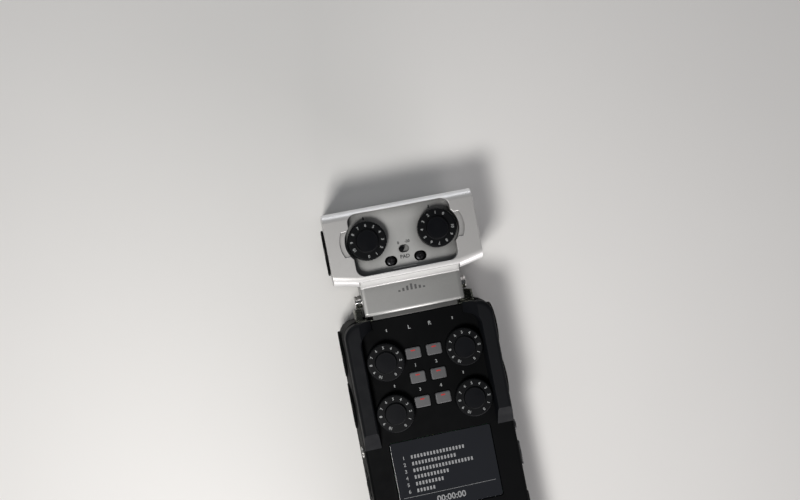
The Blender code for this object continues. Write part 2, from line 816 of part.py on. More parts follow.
def main_board():
    """Circuit board of the recorder, with its four potentiometers soldered on."""
    top = BOARD_Z + BOARD_T
    outline = rounded(-33, 33, -147, -4, 6, steps=2)
    board = slab("main_board", outline, BOARD_Z, top, material=BOARD)
    half, shaft_top = 5.5, 40.0
    for side in (-1, 1):
        for row, y in enumerate(BODY_KNOB_Y):
            x = side * BODY_KNOB_X
            body = block(
                f"join_pot_{side}_{row}",
                (x - half, y - half, top - 0.5),
                (x + half, y + half, FACE_Z - WALL - 0.4),
            )
            middle = (top + shaft_top) / 2
            shaft = drum(
                f"join_shaft_{side}_{row}",
                (x, y, middle),
                SHAFT_R,
                shaft_top - top,
                sides=16,
            )
            join(board, body, shaft)


def screen():
    half, near, far = SCREEN_X - GAP, SCREEN_Y[0] + GAP, SCREEN_Y[1] - GAP
    window = rounded(-half, half, near, far, 1.2, steps=2)
    slab("display_window", window, FACE_Z - 1.4, FACE_Z - 0.2, material=GLASS)
    block(
        "lcd_module",
        (-SCREEN_X + 2, SCREEN_Y[0] + 2, BOARD_Z + BOARD_T + GAP),
        (SCREEN_X - 2, SCREEN_Y[1] - 2, FACE_Z - 1.8),
        GREY,
    )


def battery_cells():
    """Four cells side by side, each with its raised contact."""
    profile = (
        (0, CELL_LENGTH),
        (2.6, CELL_LENGTH),
        (2.6, CELL_LENGTH - 1.2),
        (CELL_R - 0.5, CELL_LENGTH - 1.2),
        (CELL_R, CELL_LENGTH - 1.8),
        (CELL_R, 0.4),
        (CELL_R - 0.4, 0),
        (0, 0),
    )
    pitch = 2 * CELL_R + 0.6
    for i in range(4):
        at = ((i - 1.5) * pitch, CELL_END, CELL_Z)
        turned(f"battery_cell_{i + 1}", profile, at, "Y", CELL, sides=12)


def speaker():
    drum("speaker", (0, SPEAKER_Y, 4.4), 9.5, 4.0, material=BLACK)


def tripod_bush():
    """Threaded brass insert for a tripod, closed at its inner end."""
    depth, bore_r, height = 7.0, 3.2, 8.0
    profile = (
        (0, height),
        (5.2, height),
        (5.2, 0),
        (bore_r, 0),
        (bore_r, depth),
        (0, depth),
    )
    turned("tripod_bush", profile, (0, BUSH_Y, 0.3), "Z", BRASS)


# ---------------------------------------------------------------- recorder controls


def track_buttons():
    """Six track keys in two columns. Each has a flange below the face."""
    top, inner = FACE_Z + BUTTON_PROUD, FACE_Z - WALL
    for row, y in enumerate(TRACK_Y):
        for side, word in zip((-1, 1), TRACK_NAMES[row]):
            x, name = side * TRACK_X, f"track_button_{word}"
            cap = block(
                name,
                (x - TRACK_HALF_W, y - TRACK_HALF_H, inner - 1),
                (x + TRACK_HALF_W, y + TRACK_HALF_H, top),
                GREY,
            )
            bevel(cap, 0.5, 1, top_edges)
            flange = block(
                f"join_{name}",
                (x - TRACK_HALF_W - 0.7, y - TRACK_HALF_H - 0.7, inner - 1.1),
                (x + TRACK_HALF_W + 0.7, y + TRACK_HALF_H + 0.7, inner - GAP),
            )
            join(cap, flange)


def transport_buttons():
    base = FACE_Z - WALL - 1.1
    top = FACE_Z + BUTTON_PROUD - base
    for name, (x, y, radius) in TRANSPORT.items():
        profile = (
            (0, top),
            (radius - 0.6, top),
            (radius, top - 0.5),
            (radius, 0.8),
            (radius + 0.8, 0.8),
            (radius + 0.8, 0),
            (0, 0),
        )
        material = RED if name == "record_button" else GREY
        turned(name, profile, (x, y, base), "Z", material)


def volume_dial():
    height = 3.6
    profile = (
        (0, height),
        (DIAL_R - 0.4, height),
        (DIAL_R, height - 0.4),
        (DIAL_R, 0.4),
        (DIAL_R - 0.4, 0),
        (0, 0),
    )
    turned(
        "volume_dial", profile, (DIAL_X, DIAL_Y, SIDE_Z - height / 2), "Z", BLACK, 28
    )


def phones_socket():
    x0, x1, z = -BODY_HALF_W + 3.6, -28.0, SIDE_Z
    low, high = (x0, PHONES_Y - 3.2, z - 2.9), (x1, PHONES_Y + 3.2, z + 2.9)
    body = block("phones_socket", low, high, BLACK)
    nose = (-BODY_HALF_W + 2.4, PHONES_Y, z)
    join(body, drum("join_phones_nose", nose, 2.8, 4.4, "X", sides=20))
    bore = (-BODY_HALF_W + 4, PHONES_Y, z)
    cut(body, drum("cut_phones_bore", bore, 1.75, 12, "X", sides=16))


def usb_socket():
    outer_x, z = -BODY_HALF_W + 0.9, SIDE_Z
    low, high = (outer_x, USB_Y - 3.9, z - 1.6), (-31.5, USB_Y + 3.9, z + 1.6)
    shell = block("usb_socket", low, high, STEEL)
    low, high = (outer_x - 2, USB_Y - 3.4, z - 1.1), (-33.0, USB_Y + 3.4, z + 1.1)
    cut(shell, block("cut_usb_mouth", low, high))


def power_slider():
    """Thumb piece outside the wall, a stem through it and a keeper behind it."""

    def layer(name, low_x, high_x, half_y, half_z, material=None):
        low = (-BODY_HALF_W + low_x, POWER_Y - half_y, SIDE_Z - half_z)
        high = (-BODY_HALF_W + high_x, POWER_Y + half_y, SIDE_Z + half_z)
        return block(name, low, high, material)

    thumb = layer("power_slider", -0.2, 1.0, 4.5, 2.2, GREY)
    stem = layer("join_power_stem", 0.5, 4.2, 1.5, 1.2)
    keeper = layer("join_power_keeper", 3.5, 4.6, 3.0, 2.3)
    join(thumb, stem, keeper)


def menu_button():
    profile = (
        (0, 5.2),
        (2.6, 5.2),
        (3.0, 4.8),
        (3.0, 1.2),
        (3.8, 1.2),
        (3.8, 0),
        (0, 0),
    )
    turned("menu_button", profile, (34.0, MENU_Y, SIDE_Z), "X", GREY, sides=20)


def scroll_rocker():
    """Rocking key: its origin is on the upright axis that it rocks about."""
    pivot = (35.2, ROCKER_Y, SIDE_Z)
    key = block(
        "scroll_rocker",
        (34.8, ROCKER_Y - 6, SIDE_Z - 2.2),
        (39.2, ROCKER_Y + 6, SIDE_Z + 2.2),
        GREY,
        at=pivot,
    )
    wings = block(
        "join_rocker_wings",
        (34.0, ROCKER_Y - 7.2, SIDE_Z - 3.0),
        (35.2, ROCKER_Y + 7.2, SIDE_Z + 3.0),
    )
    join(key, wings)


def card_cover():
    """Flap over the memory card, hung from its top edge."""
    hinge = (38.1, CARD_Y, SIDE_Z + CARD_HALF_H - 0.6)
    flap = block(
        "card_cover",
        (37.4, CARD_Y - CARD_HALF_W, SIDE_Z - CARD_HALF_H),
        (38.7, CARD_Y + CARD_HALF_W, SIDE_Z + CARD_HALF_H),
        RUBBER,
        at=hinge,
    )
    bevel(flap, 0.3, 1)
    block(
        "memory_card", (12.5, CARD_Y - 12, 25.0), (36.5, CARD_Y + 12, 27.1), BLACK
    )


def recorder():
    shared = shared_cutters()
    back_case(shared)
    front_case(shared)
    battery_door()
    side_guard("side_guard_left", -1)
    side_guard("side_guard_right", 1)
    dock_plate()
    dock_socket()
    main_board()
    screen()
    battery_cells()
    speaker()
    tripod_bush()
    track_buttons()
    transport_buttons()
    volume_dial()
    phones_socket()
    usb_socket()
    power_slider()
    menu_button()
    scroll_rocker()
    card_cover()
    number = 1
    for side in (-1, 1):
        for row in range(2):
            seat_x = BODY_HALF_W - 0.7
            input_jack(f"input_jack_{number}", side, seat_x, BODY_JACK_Y[row])
            gain_knob(
                f"gain_knob_{number}",
                side * BODY_KNOB_X,
                BODY_KNOB_Y[row],
                BODY_KNOB_R,
                FACE_Z + 0.7,
                FACE_Z + 7.0,
            )
            number += 1


capsule()
recorder()
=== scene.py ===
"""Looks of a portable field recorder with a two-input capsule docked at its top end.

Lengths are millimetres and Y is counted from the dock, where capsule and recorder meet.
show() moves each finished solid into the frame, which is in metres.
"""

import math

import bmesh
import bpy
from mathutils import Euler, Matrix, Vector

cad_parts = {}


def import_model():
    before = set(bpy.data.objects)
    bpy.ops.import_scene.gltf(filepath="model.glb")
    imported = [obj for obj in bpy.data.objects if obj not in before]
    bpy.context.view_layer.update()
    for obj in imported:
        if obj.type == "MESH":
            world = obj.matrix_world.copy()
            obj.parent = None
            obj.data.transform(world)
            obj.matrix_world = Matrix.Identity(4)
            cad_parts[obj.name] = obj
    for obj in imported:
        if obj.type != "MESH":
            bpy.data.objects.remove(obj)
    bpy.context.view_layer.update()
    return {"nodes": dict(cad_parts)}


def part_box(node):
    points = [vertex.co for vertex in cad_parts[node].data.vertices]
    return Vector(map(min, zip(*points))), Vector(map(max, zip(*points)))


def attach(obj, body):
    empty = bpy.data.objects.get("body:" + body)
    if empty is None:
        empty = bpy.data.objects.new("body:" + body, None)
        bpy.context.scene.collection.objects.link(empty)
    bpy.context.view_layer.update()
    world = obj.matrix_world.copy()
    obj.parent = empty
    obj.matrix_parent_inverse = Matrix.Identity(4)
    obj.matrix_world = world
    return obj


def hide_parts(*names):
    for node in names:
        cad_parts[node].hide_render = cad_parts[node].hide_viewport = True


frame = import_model()

MM = 0.001

# Play between parts that are put together
GAP = 0.3

# Side of the dock plate that faces the recorder
PLATE_NEAR = -0.9
DOCK_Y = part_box("dock_plate")[0].y / MM - PLATE_NEAR

# Recorder body
BODY_HALF_W, BODY_END, BODY_HEAD = 39.0, -152.0, 0.6
SPLIT_Z, FACE_Z, WALL, CORNER_R = 18.0, 35.0, 2.0, 9.0
SIDE_DRAFT = 1.7
JACK_Z, JACK_SEAT_R, JACK_BORE_R = 18.0, 11.8, 10.9
SIDE_Z = 26.0

# Battery door in the back
DOOR_HALF_W, DOOR_HEAD = 31.0, -92.0

# Capsule
BLOCK_HALF_W, BLOCK_FAR, BLOCK_LOW, BLOCK_TOP, BLOCK_R = 37.0, 54.0, 5.2, 42.8, 4.6
BLOCK_INSIDE_NEAR, BLOCK_INSIDE_FAR = 20.0, 52.2
BLOCK_NEAR, BLOCK_END_NEAR = 16.7, 19.3
PANEL_Z, PANEL_T = 36.5, 1.2
NECK_HALF_W, NECK_NEAR, NECK_FACE, NECK_LOW = 24.8, 1.3, 36.5, 10.0
NOSE_Y = 18.74
TONGUE_HALF_W = 21.3
RELEASE_Y, RELEASE_Z, RELEASE_R = 9.2, 25.0, 3.15
SCREW_X, SCREW_Y = 7.3, 26.1
PAD_Y, PAD_X = 31.0, -1.2
KNOB_BAY_GAP = 1.4

# Numerals run anticlockwise from zero, in degrees. Two knobs are set differently.
NUMERALS, NUMERAL_STEP, ZERO_AT = 11, 30.0, -60.0
ZERO_OF_SET_KNOBS = {5: -93.5, 6: 57.0}

# Mouth of the dock, half its width and its lowest and highest edge
MOUTH_HALF_W, MOUTH_LOW, MOUTH_TOP = 10.4, 19.9, 26.1
CONTACTS, CONTACT_STEP = 10, 1.73

# Height of the middle of a printed mark above its face
PRINT_LIFT = 0.02

# Corners closer than this become one
WELD = 0.002

# Edges sharper than this are rounded, or drawn sharp where nothing rounds them
ROUNDED_FROM, SHARP_FROM = math.radians(38), math.radians(32)

KNOBS = [f"gain_knob_{n}" for n in range(1, 7)]
JACKS = [f"input_jack_{n}" for n in range(1, 7)]
TRACK_KEYS = [f"track_button_{w}" for w in ("left", "right", "1", "2", "3", "4")]

# Which way a solid's own third axis points
AXES = {
    "Z": ((1, 0, 0), (0, 1, 0), (0, 0, 1)),
    "-Z": ((1, 0, 0), (0, 1, 0), (0, 0, -1)),
    "X": ((0, 0, 1), (1, 0, 0), (0, 1, 0)),
    "-X": ((0, 0, -1), (1, 0, 0), (0, 1, 0)),
    "Y": ((1, 0, 0), (0, 0, 1), (0, 1, 0)),
    "-Y": ((1, 0, 0), (0, 0, -1), (0, 1, 0)),
}


def where(node):
    """Lowest and highest corner of a frame node, in millimetres from the dock."""
    shift = Vector((0, DOCK_Y, 0))
    low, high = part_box(node)
    return low / MM - shift, high / MM - shift


def centre(node):
    """Middle of a frame node in plan."""
    a, b = where(node)
    return (a.x + b.x) / 2, (a.y + b.y) / 2


# ---- materials ----


class Finish:
    """A Principled material and short calls for the nodes that give it detail."""

    def __init__(self, name, colour, roughness, metallic=0.0, **sockets):
        self.material = bpy.data.materials.new(name)
        self.material.use_nodes = True
        self.tree = self.material.node_tree
        self.inputs = self.tree.nodes["Principled BSDF"].inputs
        self.colour, self.rough = (*colour, 1), roughness
        self.feed(self.inputs["Base Color"], self.colour)
        self.feed(self.inputs["Roughness"], roughness)
        self.feed(self.inputs["Metallic"], metallic)
        for socket, value in sockets.items():
            self.feed(self.inputs[socket.replace("_", " ")], value)
        self.place = self.node("ShaderNodeTexCoord", "Object", {})
        self.height = None

    def feed(self, socket, value):
        """Links a socket to another node's output, or sets it to a plain value."""
        if isinstance(value, bpy.types.NodeSocket):
            self.tree.links.new(value, socket)
        else:
            socket.default_value = value

    def node(self, kind, output, inputs, **settings):
        """One output of a new node with these inputs, by name or by place."""
        made = self.tree.nodes.new(kind)
        for key, value in settings.items():
            setattr(made, key, value)
        for key, value in inputs.items():
            self.feed(made.inputs[key], value)
        return made.outputs[output]

    def noise(self, size_mm, detail=3.0, stretch=(1, 1, 1)):
        """Soft noise whose features are about that many millimetres across."""
        place = self.node("ShaderNodeMapping", "Vector", {"Vector": self.place, "Scale": stretch})
        inputs = {"Vector": place, "Scale": 1 / (size_mm * MM), "Detail": detail}
        return self.node("ShaderNodeTexNoise", "Fac", inputs)

    def cells(self, size_mm, feature="F1"):
        """Distance to scattered points that many millimetres apart."""
        inputs = {"Vector": self.place, "Scale": 1 / (size_mm * MM)}
        return self.node("ShaderNodeTexVoronoi", "Distance", inputs, feature=feature)

    def remap(self, source, low, high, start=0.3, end=0.7):
        """Takes start to low and end to high, and holds those two values outside."""
        inputs = {"Value": source, "From Min": start, "From Max": end, "To Min": low, "To Max": high}
        return self.node("ShaderNodeMapRange", "Result", inputs)

    def dot(self, first, second):
        inputs = {0: first, 1: second}
        return self.node("ShaderNodeVectorMath", "Value", inputs, operation="DOT_PRODUCT")

    def mix(self, amount, other):
        """Turns the colour towards another one by amount."""
        base = self.inputs["Base Color"]
        colour = base.links[0].from_socket if base.is_linked else self.colour
        # The colour sockets of this node are its seventh and eighth, and its third output
        inputs = {0: amount, 6: colour, 7: (*other, 1)}
        self.feed(base, self.node("ShaderNodeMix", 2, inputs, data_type="RGBA"))
        return self

    def vary_roughness(self, source, spread, start=0.3, end=0.7):
        low, high = self.rough - spread, self.rough + spread
        self.feed(self.inputs["Roughness"], self.remap(source, low, high, start, end))
        return self

    def bump(self, source, depth_mm, strength=0.5):
        inputs = {"Height": source, "Strength": strength, "Distance": depth_mm * MM}
        if self.height is not None:
            inputs["Normal"] = self.height
        self.height = self.node("ShaderNodeBump", "Normal", inputs)
        self.feed(self.inputs["Normal"], self.height)
        return self

    def flop(self, toward, strength, colour):
        """Painted highlight: paint that turns paler where the surface leans toward a direction, as
        where the lamps' light falls on it.
        """
        facing = self.node("ShaderNodeTexCoord", "Normal", {})
        return self.mix(self.remap(self.dot(facing, toward), 0, strength, 0.08, 0.75), colour)

    def hollows(self, colour, reach_mm):
        """Painted shade: another colour where surfaces stand close together, darkening corners and
        recesses as shade does there.
        """
        inputs = {"Distance": reach_mm * MM}
        openness = self.node("ShaderNodeAmbientOcclusion", "AO", inputs, samples=6)
        return self.mix(self.remap(openness, 1, 0, 0.35, 0.95), colour)

    def worn_edges(self, colour):
        """Edges rubbed towards another colour, in patches."""
        rounded_off = self.node("ShaderNodeBevel", "Normal", {"Radius": 0.3 * MM}, samples=4)
        flat_on = self.node("ShaderNodeNewGeometry", "Normal", {})
        edge = self.remap(self.dot(rounded_off, flat_on), 1, 0, 0.72, 0.98)
        patches = self.remap(self.noise(3.0, 4), 0, 1, 0.42, 0.62)
        inputs = {0: edge, 1: patches}
        both = self.node("ShaderNodeMath", "Value", inputs, operation="MULTIPLY")
        return self.mix(both, colour)


def grained(name, colour, roughness, grain_mm=0.35, depth_mm=0.03, **sockets):
    """Moulded plastic or rubber with a fine grain, a faint sheen of handling and dust."""
    made = Finish(name, colour, roughness, **sockets)
    pale = [c * 1.3 + 0.0015 for c in colour]
    made.mix(made.remap(made.noise(14.0, 5), 0, 0.35), pale)
    made.vary_roughness(made.noise(6.0, 5), 0.07)
    made.bump(made.cells(grain_mm), depth_mm, 0.35)
    made.bump(made.noise(grain_mm / 2, 2), depth_mm / 2, 0.3)
    return made.worn_edges([c * 2 + 0.008 for c in colour]).material


def satin_paint(name, colour, near_highlight=0.44):
    """Silver paint: fine flakes, soft variation and a slight orange peel, with painted highlights on
    slopes facing the near and far sides and painted shade in hollows.
    """
    made = Finish(name, colour, 0.38, 0.42, Coat_Weight=0.06, Coat_Roughness=0.3)
    flakes = made.remap(made.cells(0.16), 0, 1, 0.1, 0.75)
    made.mix(flakes, [c * 0.8 for c in colour])
    made.mix(made.remap(made.noise(22.0, 4), 0, 0.5), [c * 0.93 for c in colour])
    # Painted highlights: paler where the paint faces the near side and the far side, where the lamps
    # light it
    made.flop((0, -1, 0), near_highlight, [min(1, c * 2.1) for c in colour])
    made.flop((0, 1, 0), 0.85, [min(1, c * 1.9) for c in colour])
    # Painted shade darkens the paint in corners and recesses
    made.hollows([c * 0.3 for c in colour], 6.0)
    made.vary_roughness(made.noise(0.3, 3), 0.07)
    made.bump(made.noise(0.25, 3), 0.012, 0.35)
    return made.worn_edges([min(1, c * 1.35) for c in colour]).material


def bare_metal(name, colour, roughness, brush=(1, 1, 1), scratch_mm=0.08):
    """Plated or turned metal with hairline scratches and a little tarnish."""
    made = Finish(name, colour, roughness, 1.0)
    made.mix(made.remap(made.noise(5.0, 4), 0, 0.4), [c * 0.72 for c in colour])
    made.vary_roughness(made.noise(1.2, 4), roughness * 0.45)
    made.bump(made.noise(scratch_mm, 2, brush), 0.004, 0.3)
    return made.material


def printed(name, colour):
    made = Finish(name, colour, 0.55)
    made.mix(made.remap(made.noise(0.5, 3), 0, 0.35), [c * 0.75 for c in colour])
    made.bump(made.noise(0.2, 2), 0.01, 0.3)
    return made.material


def circuit_board(name):
    made = Finish(name, (0.012, 0.11, 0.045), 0.35, Coat_Weight=0.4)
    traces = made.remap(made.cells(1.4, "DISTANCE_TO_EDGE"), 1, 0, 0.05, 0.09)
    made.mix(traces, (0.03, 0.24, 0.1))
    pads = made.remap(made.cells(2.6), 1, 0, 0.12, 0.16)
    made.mix(pads, (0.75, 0.55, 0.22))
    made.bump(traces, 0.03, 0.5)
    return made.material


def striped_wrap(name):
    """Printed sleeve of a cell: a plain dark body; the pale band at one end is a separate piece made
    with the cell's ends.
    """
    made = Finish(name, (0.03, 0.05, 0.12), 0.3, Coat_Weight=0.5)
    made.mix(made.remap(made.noise(9.0, 3), 0, 0.4), (0.05, 0.09, 0.2))
    made.vary_roughness(made.noise(2.0, 4), 0.08)
    made.bump(made.noise(1.5, 3), 0.02, 0.3)
    return made.material


SILVER = satin_paint("satin_silver", (0.56, 0.552, 0.54))
PANEL = satin_paint("panel_silver", (0.61, 0.61, 0.595))
# The block's silver paint, darker as painted shade over the neck, with a strong painted highlight on
# its near-facing ramp
SHADED_NECK = satin_paint("neck_silver_shaded", (0.345, 0.345, 0.337), 0.95)
TONGUE = satin_paint("tongue_grey", (0.12, 0.12, 0.117))
BLACK = grained("black_case", (0.0018, 0.002, 0.0023), 0.6, Specular_IOR_Level=0.05)
KNOB = grained("knob_black", (0.0028, 0.0031, 0.0037), 0.5, 0.22, 0.02, Specular_IOR_Level=0.09)
CAP = grained("cap_black", (0.0028, 0.0032, 0.0044), 0.45, 0.2, 0.015, Specular_IOR_Level=0.08)
RUBBER = grained("guard_rubber", (0.0028, 0.0033, 0.0045), 0.6, 0.3, 0.03, Specular_IOR_Level=0.12)
GREY = grained("grey_key", (0.07, 0.07, 0.073), 0.45, 0.25, 0.02)
RED = grained("red_key", (0.36, 0.012, 0.01), 0.4, 0.25, 0.015)
# Plated metal, darker and tinted olive by a painted reflection of a wooden tabletop
COLLAR = bare_metal("collar_plating_reflection_tint", (0.3, 0.31, 0.26), 0.24)
CHROME = bare_metal("bright_plating", (0.62, 0.61, 0.6), 0.15)
STEEL = bare_metal("dull_steel", (0.56, 0.55, 0.53), 0.34, (1, 8, 1))
DARK_STEEL = bare_metal("black_steel", (0.045, 0.045, 0.048), 0.36)
BRASS = bare_metal("turned_brass", (0.78, 0.56, 0.24), 0.28, (1, 1, 10))
GOLD = bare_metal("gold_contact", (0.9, 0.66, 0.27), 0.2, (10, 1, 1))
BOARD = circuit_board("green_board")
WRAP = striped_wrap("cell_sleeve")
WHITE_INK = printed("white_ink", (0.72, 0.73, 0.72))
NUMERAL_INK = printed("numeral_ink", (0.32, 0.33, 0.33))
GREY_INK = printed("grey_ink", (0.25, 0.255, 0.26))
MARK_INK = printed("mark_ink", (0.075, 0.075, 0.077))
DARK_INK = printed("dark_ink", (0.02, 0.02, 0.022))
GLASS = Finish("window_glass", (0.012, 0.013, 0.016), 0.06, Coat_Weight=1.0)
GLASS.vary_roughness(GLASS.noise(4.0, 4), 0.03).bump(GLASS.noise(8.0, 2), 0.01, 0.2)
GLASS = GLASS.material


# ---- shape helpers ----


def add_object(name, data):
    made = bpy.data.objects.new(name, data)
    bpy.context.scene.collection.objects.link(made)
    return made


def solid(bm, axis="Z", at=(0, 0, 0)):
    """Turns a closed bmesh into an object, with its third axis pointing along axis."""
    matrix = Matrix.Translation(at) @ Matrix(AXES[axis]).to_4x4()
    bmesh.ops.transform(bm, matrix=matrix, verts=bm.verts)
    bmesh.ops.recalc_face_normals(bm, faces=bm.faces)
    mesh = bpy.data.meshes.new("solid")
    bm.to_mesh(mesh)
    bm.free()
    return add_object("solid", mesh)


def loft(levels, axis="Z", at=(0, 0, 0)):
    """Closed solid through outlines with equally many points: (height, outline) pairs."""
    bm = bmesh.new()
    rings = [[bm.verts.new((a, b, height)) for a, b in line] for height, line in levels]
    for lower, upper in zip(rings, rings[1:]):
        for i in range(len(lower)):
            j = (i + 1) % len(lower)
            bm.faces.new((lower[i], lower[j], upper[j], upper[i]))
    bm.faces.new(rings[0][::-1])
    bm.faces.new(rings[-1])
    return solid(bm, axis, at)


def lathe(profile, axis="Z", at=(0, 0, 0), sides=64, scallop=None):
    """Body of revolution of a closed (radius, height) profile. A scallop is (count,
    depth, smallest radius): notches round the outside."""
    bm = bmesh.new()
    turns = [2 * math.pi * i / sides for i in range(sides)]
    rings = []
    for radius, height in profile:
        if radius < 1e-6:
            rings.append([bm.verts.new((0, 0, height))] * sides)
            continue
        ring = []
        for turn in turns:
            r = radius
            if scallop and radius >= scallop[2]:
                r -= scallop[1] * max(0.0, math.cos(scallop[0] * turn)) ** 2
            ring.append(bm.verts.new((r * math.cos(turn), r * math.sin(turn), height)))
        rings.append(ring)
    for lower, upper in zip(rings, rings[1:] + rings[:1]):
        for i in range(sides):
            j = (i + 1) % sides
            corners = dict.fromkeys((lower[i], lower[j], upper[j], upper[i]))
            if len(corners) > 2:
                bm.faces.new(corners)
    return solid(bm, axis, at)


def arc(cx, cy, radius, start, end, steps):
    turns = [math.radians(start + (end - start) * i / steps) for i in range(steps + 1)]
    return [(cx + radius * math.cos(t), cy + radius * math.sin(t)) for t in turns]


def circle(cx, cy, radius, steps=64):
    return arc(cx, cy, radius, 0, 360, steps)[:-1]


def round_edge(radius, top, bend, steps=6):
    """Profile points of a lathed body's rounded outer edge, from the side to the top."""
    turns = arc(0, 0, 1, 0, 90, steps)
    return [(radius - bend + bend * c, top - bend + bend * s) for c, s in turns]


def quarter(radius, steps):
    """(height below the top, inset) pairs of a quarter round, from the side to the top."""
    turns = [math.pi / 2 * i / steps for i in range(steps + 1)]
    return [(radius * (1 - math.sin(t)), radius * (1 - math.cos(t))) for t in turns]


def rounded(x0, x1, y0, y1, *radii, steps=12):
    """Rectangle with round corners, from the corner at (x1, y0) anticlockwise."""
    radii = radii * 4 if len(radii) == 1 else radii
    corners = ((x1, y0, -1, 1), (x1, y1, -1, -1), (x0, y1, 1, -1), (x0, y0, 1, 1))
    points = []
    for i, ((x, y, to_x, to_y), r) in enumerate(zip(corners, radii)):
        start = -90 + 90 * i
        points += arc(x + to_x * r, y + to_y * r, r, start, start + 90, steps)
    return points


def obround(cx, cy, half_length, half_width, steps=16):
    """Slot outline with round ends, its length along the first axis."""
    straight = half_length - half_width
    return arc(cx + straight, cy, half_width, -90, 90, steps) + arc(
        cx - straight, cy, half_width, 90, 270, steps
    )


def padded(cx, cy, half_x, half_y, radius):
    """Rectangle with small round corners about a centre."""
    return rounded(cx - half_x, cx + half_x, cy - half_y, cy + half_y, radius, steps=6)


def slab(outline, low, high, axis="Z"):
    return loft([(low, outline), (high, outline)], axis)


def box(low, high):
    rectangle = [(low[0], low[1]), (high[0], low[1]), (high[0], high[1]), (low[0], high[1])]
    return slab(rectangle, low[2], high[2])


def drum(centre, radius, length, axis="Z", sides=64):
    outline = circle(0, 0, radius, sides)
    return loft([(-length / 2, outline), (length / 2, outline)], axis, centre)


def pillow(outline_at, low, high, radius, steps=6):
    """Solid whose top edge is rounded: outline_at(inset) is its outline drawn in."""
    levels = [(low, 0)] + [(high - drop, inset) for drop, inset in quarter(radius, steps)]
    return loft([(z, outline_at(inset)) for z, inset in levels])


def bake(obj):
    graph = bpy.context.evaluated_depsgraph_get()
    mesh = bpy.data.meshes.new_from_object(obj.evaluated_get(graph))
    obj.modifiers.clear()
    obj.data = mesh
    return obj


def combine(target, operation, others):
    for other in others:
        modifier = target.modifiers.new("combine", "BOOLEAN")
        modifier.operation = operation
        modifier.object = other
        modifier.solver = "EXACT"
    bake(target)
    for other in others:
        bpy.data.objects.remove(other)
    return target


def cut(target, *others):
    return combine(target, "DIFFERENCE", others)


def join(target, *others):
    return combine(target, "UNION", others)


def merged(objects):
    """Several separate solids as one object."""
    bm = bmesh.new()
    for obj in objects:
        bm.from_mesh(obj.data)
        bpy.data.objects.remove(obj)
    return solid(bm)


def show(name, obj, material, body, slot, *replaces, edge=0.0, segments=2):
    """Rounds a solid's sharp edges and puts it in the frame as a piece."""
    bm = bmesh.new()
    bm.from_mesh(obj.data)
    bmesh.ops.remove_doubles(bm, verts=bm.verts, dist=WELD)
    bm.to_mesh(obj.data)
    bm.free()
    obj.data.shade_smooth()
    if edge:
        bevel = obj.modifiers.new("edge", "BEVEL")
        bevel.width = edge
        bevel.segments = segments
        bevel.limit_method = "ANGLE"
        bevel.angle_limit = ROUNDED_FROM
        bevel.use_clamp_overlap = False
        bevel.miter_outer = "MITER_ARC"
    else:
        obj.data.set_sharp_from_angle(angle=SHARP_FROM)
    shading = obj.modifiers.new("shading", "WEIGHTED_NORMAL")
    shading.weight = 90
    shading.keep_sharp = not edge
    bake(obj)
    obj.data.transform(Matrix.Scale(MM, 4) @ Matrix.Translation((0, DOCK_Y, 0)))
    obj.data.materials.clear()
    obj.data.materials.append(material)
    obj.name = obj.data.name = name
    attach(obj, body)
    if replaces:
        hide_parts(*replaces)
    return obj


def lettering(entries, thickness=0.06):
    """Raised print: (text or (width, height) of a bar, size, place matrix) each."""
    weld = 0.0005
    bm = bmesh.new()
    for text, size, place in entries:
        if isinstance(text, tuple):
            mesh = bpy.data.meshes.new("bar")
            bar = bmesh.new()
            bmesh.ops.create_cube(bar, size=1)
            bmesh.ops.scale(bar, vec=(*text, thickness), verts=bar.verts)
            bar.to_mesh(mesh)
            bar.free()
        else:
            curve = bpy.data.curves.new("text", "FONT")
            curve.body = text
            curve.size = size
            curve.align_x = curve.align_y = "CENTER"
            curve.extrude = thickness / 2
            curve.resolution_u = 3
            curve.offset = 0.02 * size
            guide = add_object("text", curve)
            graph = bpy.context.evaluated_depsgraph_get()
            mesh = bpy.data.meshes.new_from_object(guide.evaluated_get(graph))
            bpy.data.objects.remove(guide)
        mesh.transform(place)
        bm.from_mesh(mesh)
    bmesh.ops.remove_doubles(bm, verts=bm.verts, dist=weld)
    return solid(bm)


def flat(x, y, z, turn=0.0):
    """Place of a mark that faces up."""
    return Matrix.Translation((x, y, z)) @ Matrix.Rotation(math.radians(turn), 4, "Z")


# ---- capsule ----


def block_section(x, inset=0.0):
    """Outline of the capsule's block at x, as (y, z) points."""
    taper = max(0.0, (abs(x) - NECK_HALF_W) / (BLOCK_HALF_W - NECK_HALF_W))
    near = BLOCK_NEAR + taper * (BLOCK_END_NEAR - BLOCK_NEAR) + inset
    far, top, r = BLOCK_FAR - inset, BLOCK_TOP - inset, BLOCK_R
    round_far = arc(far - r, top - r, r, 0, 90, 14)
    round_near = arc(near + r, top - r, r, 90, 180, 14)
    return [(near, BLOCK_LOW), (far, BLOCK_LOW)] + round_far + round_near


def face_opening(grow, low, high, flare=()):
    """Window with a round bay for each knob. A flare is (height, growth) pairs above
    low, in which the outline widens towards the face."""

    def levels(outline_at):
        steps = [(low, 0), *flare]
        steps.append((high, steps[-1][1]))
        return [(z, outline_at(grow + growth)) for z, growth in steps]

    half, near, far, r = 25.1, 21.1, 51.7, 4.3

    def window(g):
        return rounded(-half - g, half + g, near - g, far + g, r + g)

    whole = loft(levels(window))
    for knob in KNOBS[4:]:
        a, b = where(knob)
        centre_x, centre_y = centre(knob)
        radius = (b.x - a.x) / 2 + KNOB_BAY_GAP
        join(whole, loft(levels(lambda g: circle(centre_x, centre_y, radius + g, 96))))
    return whole


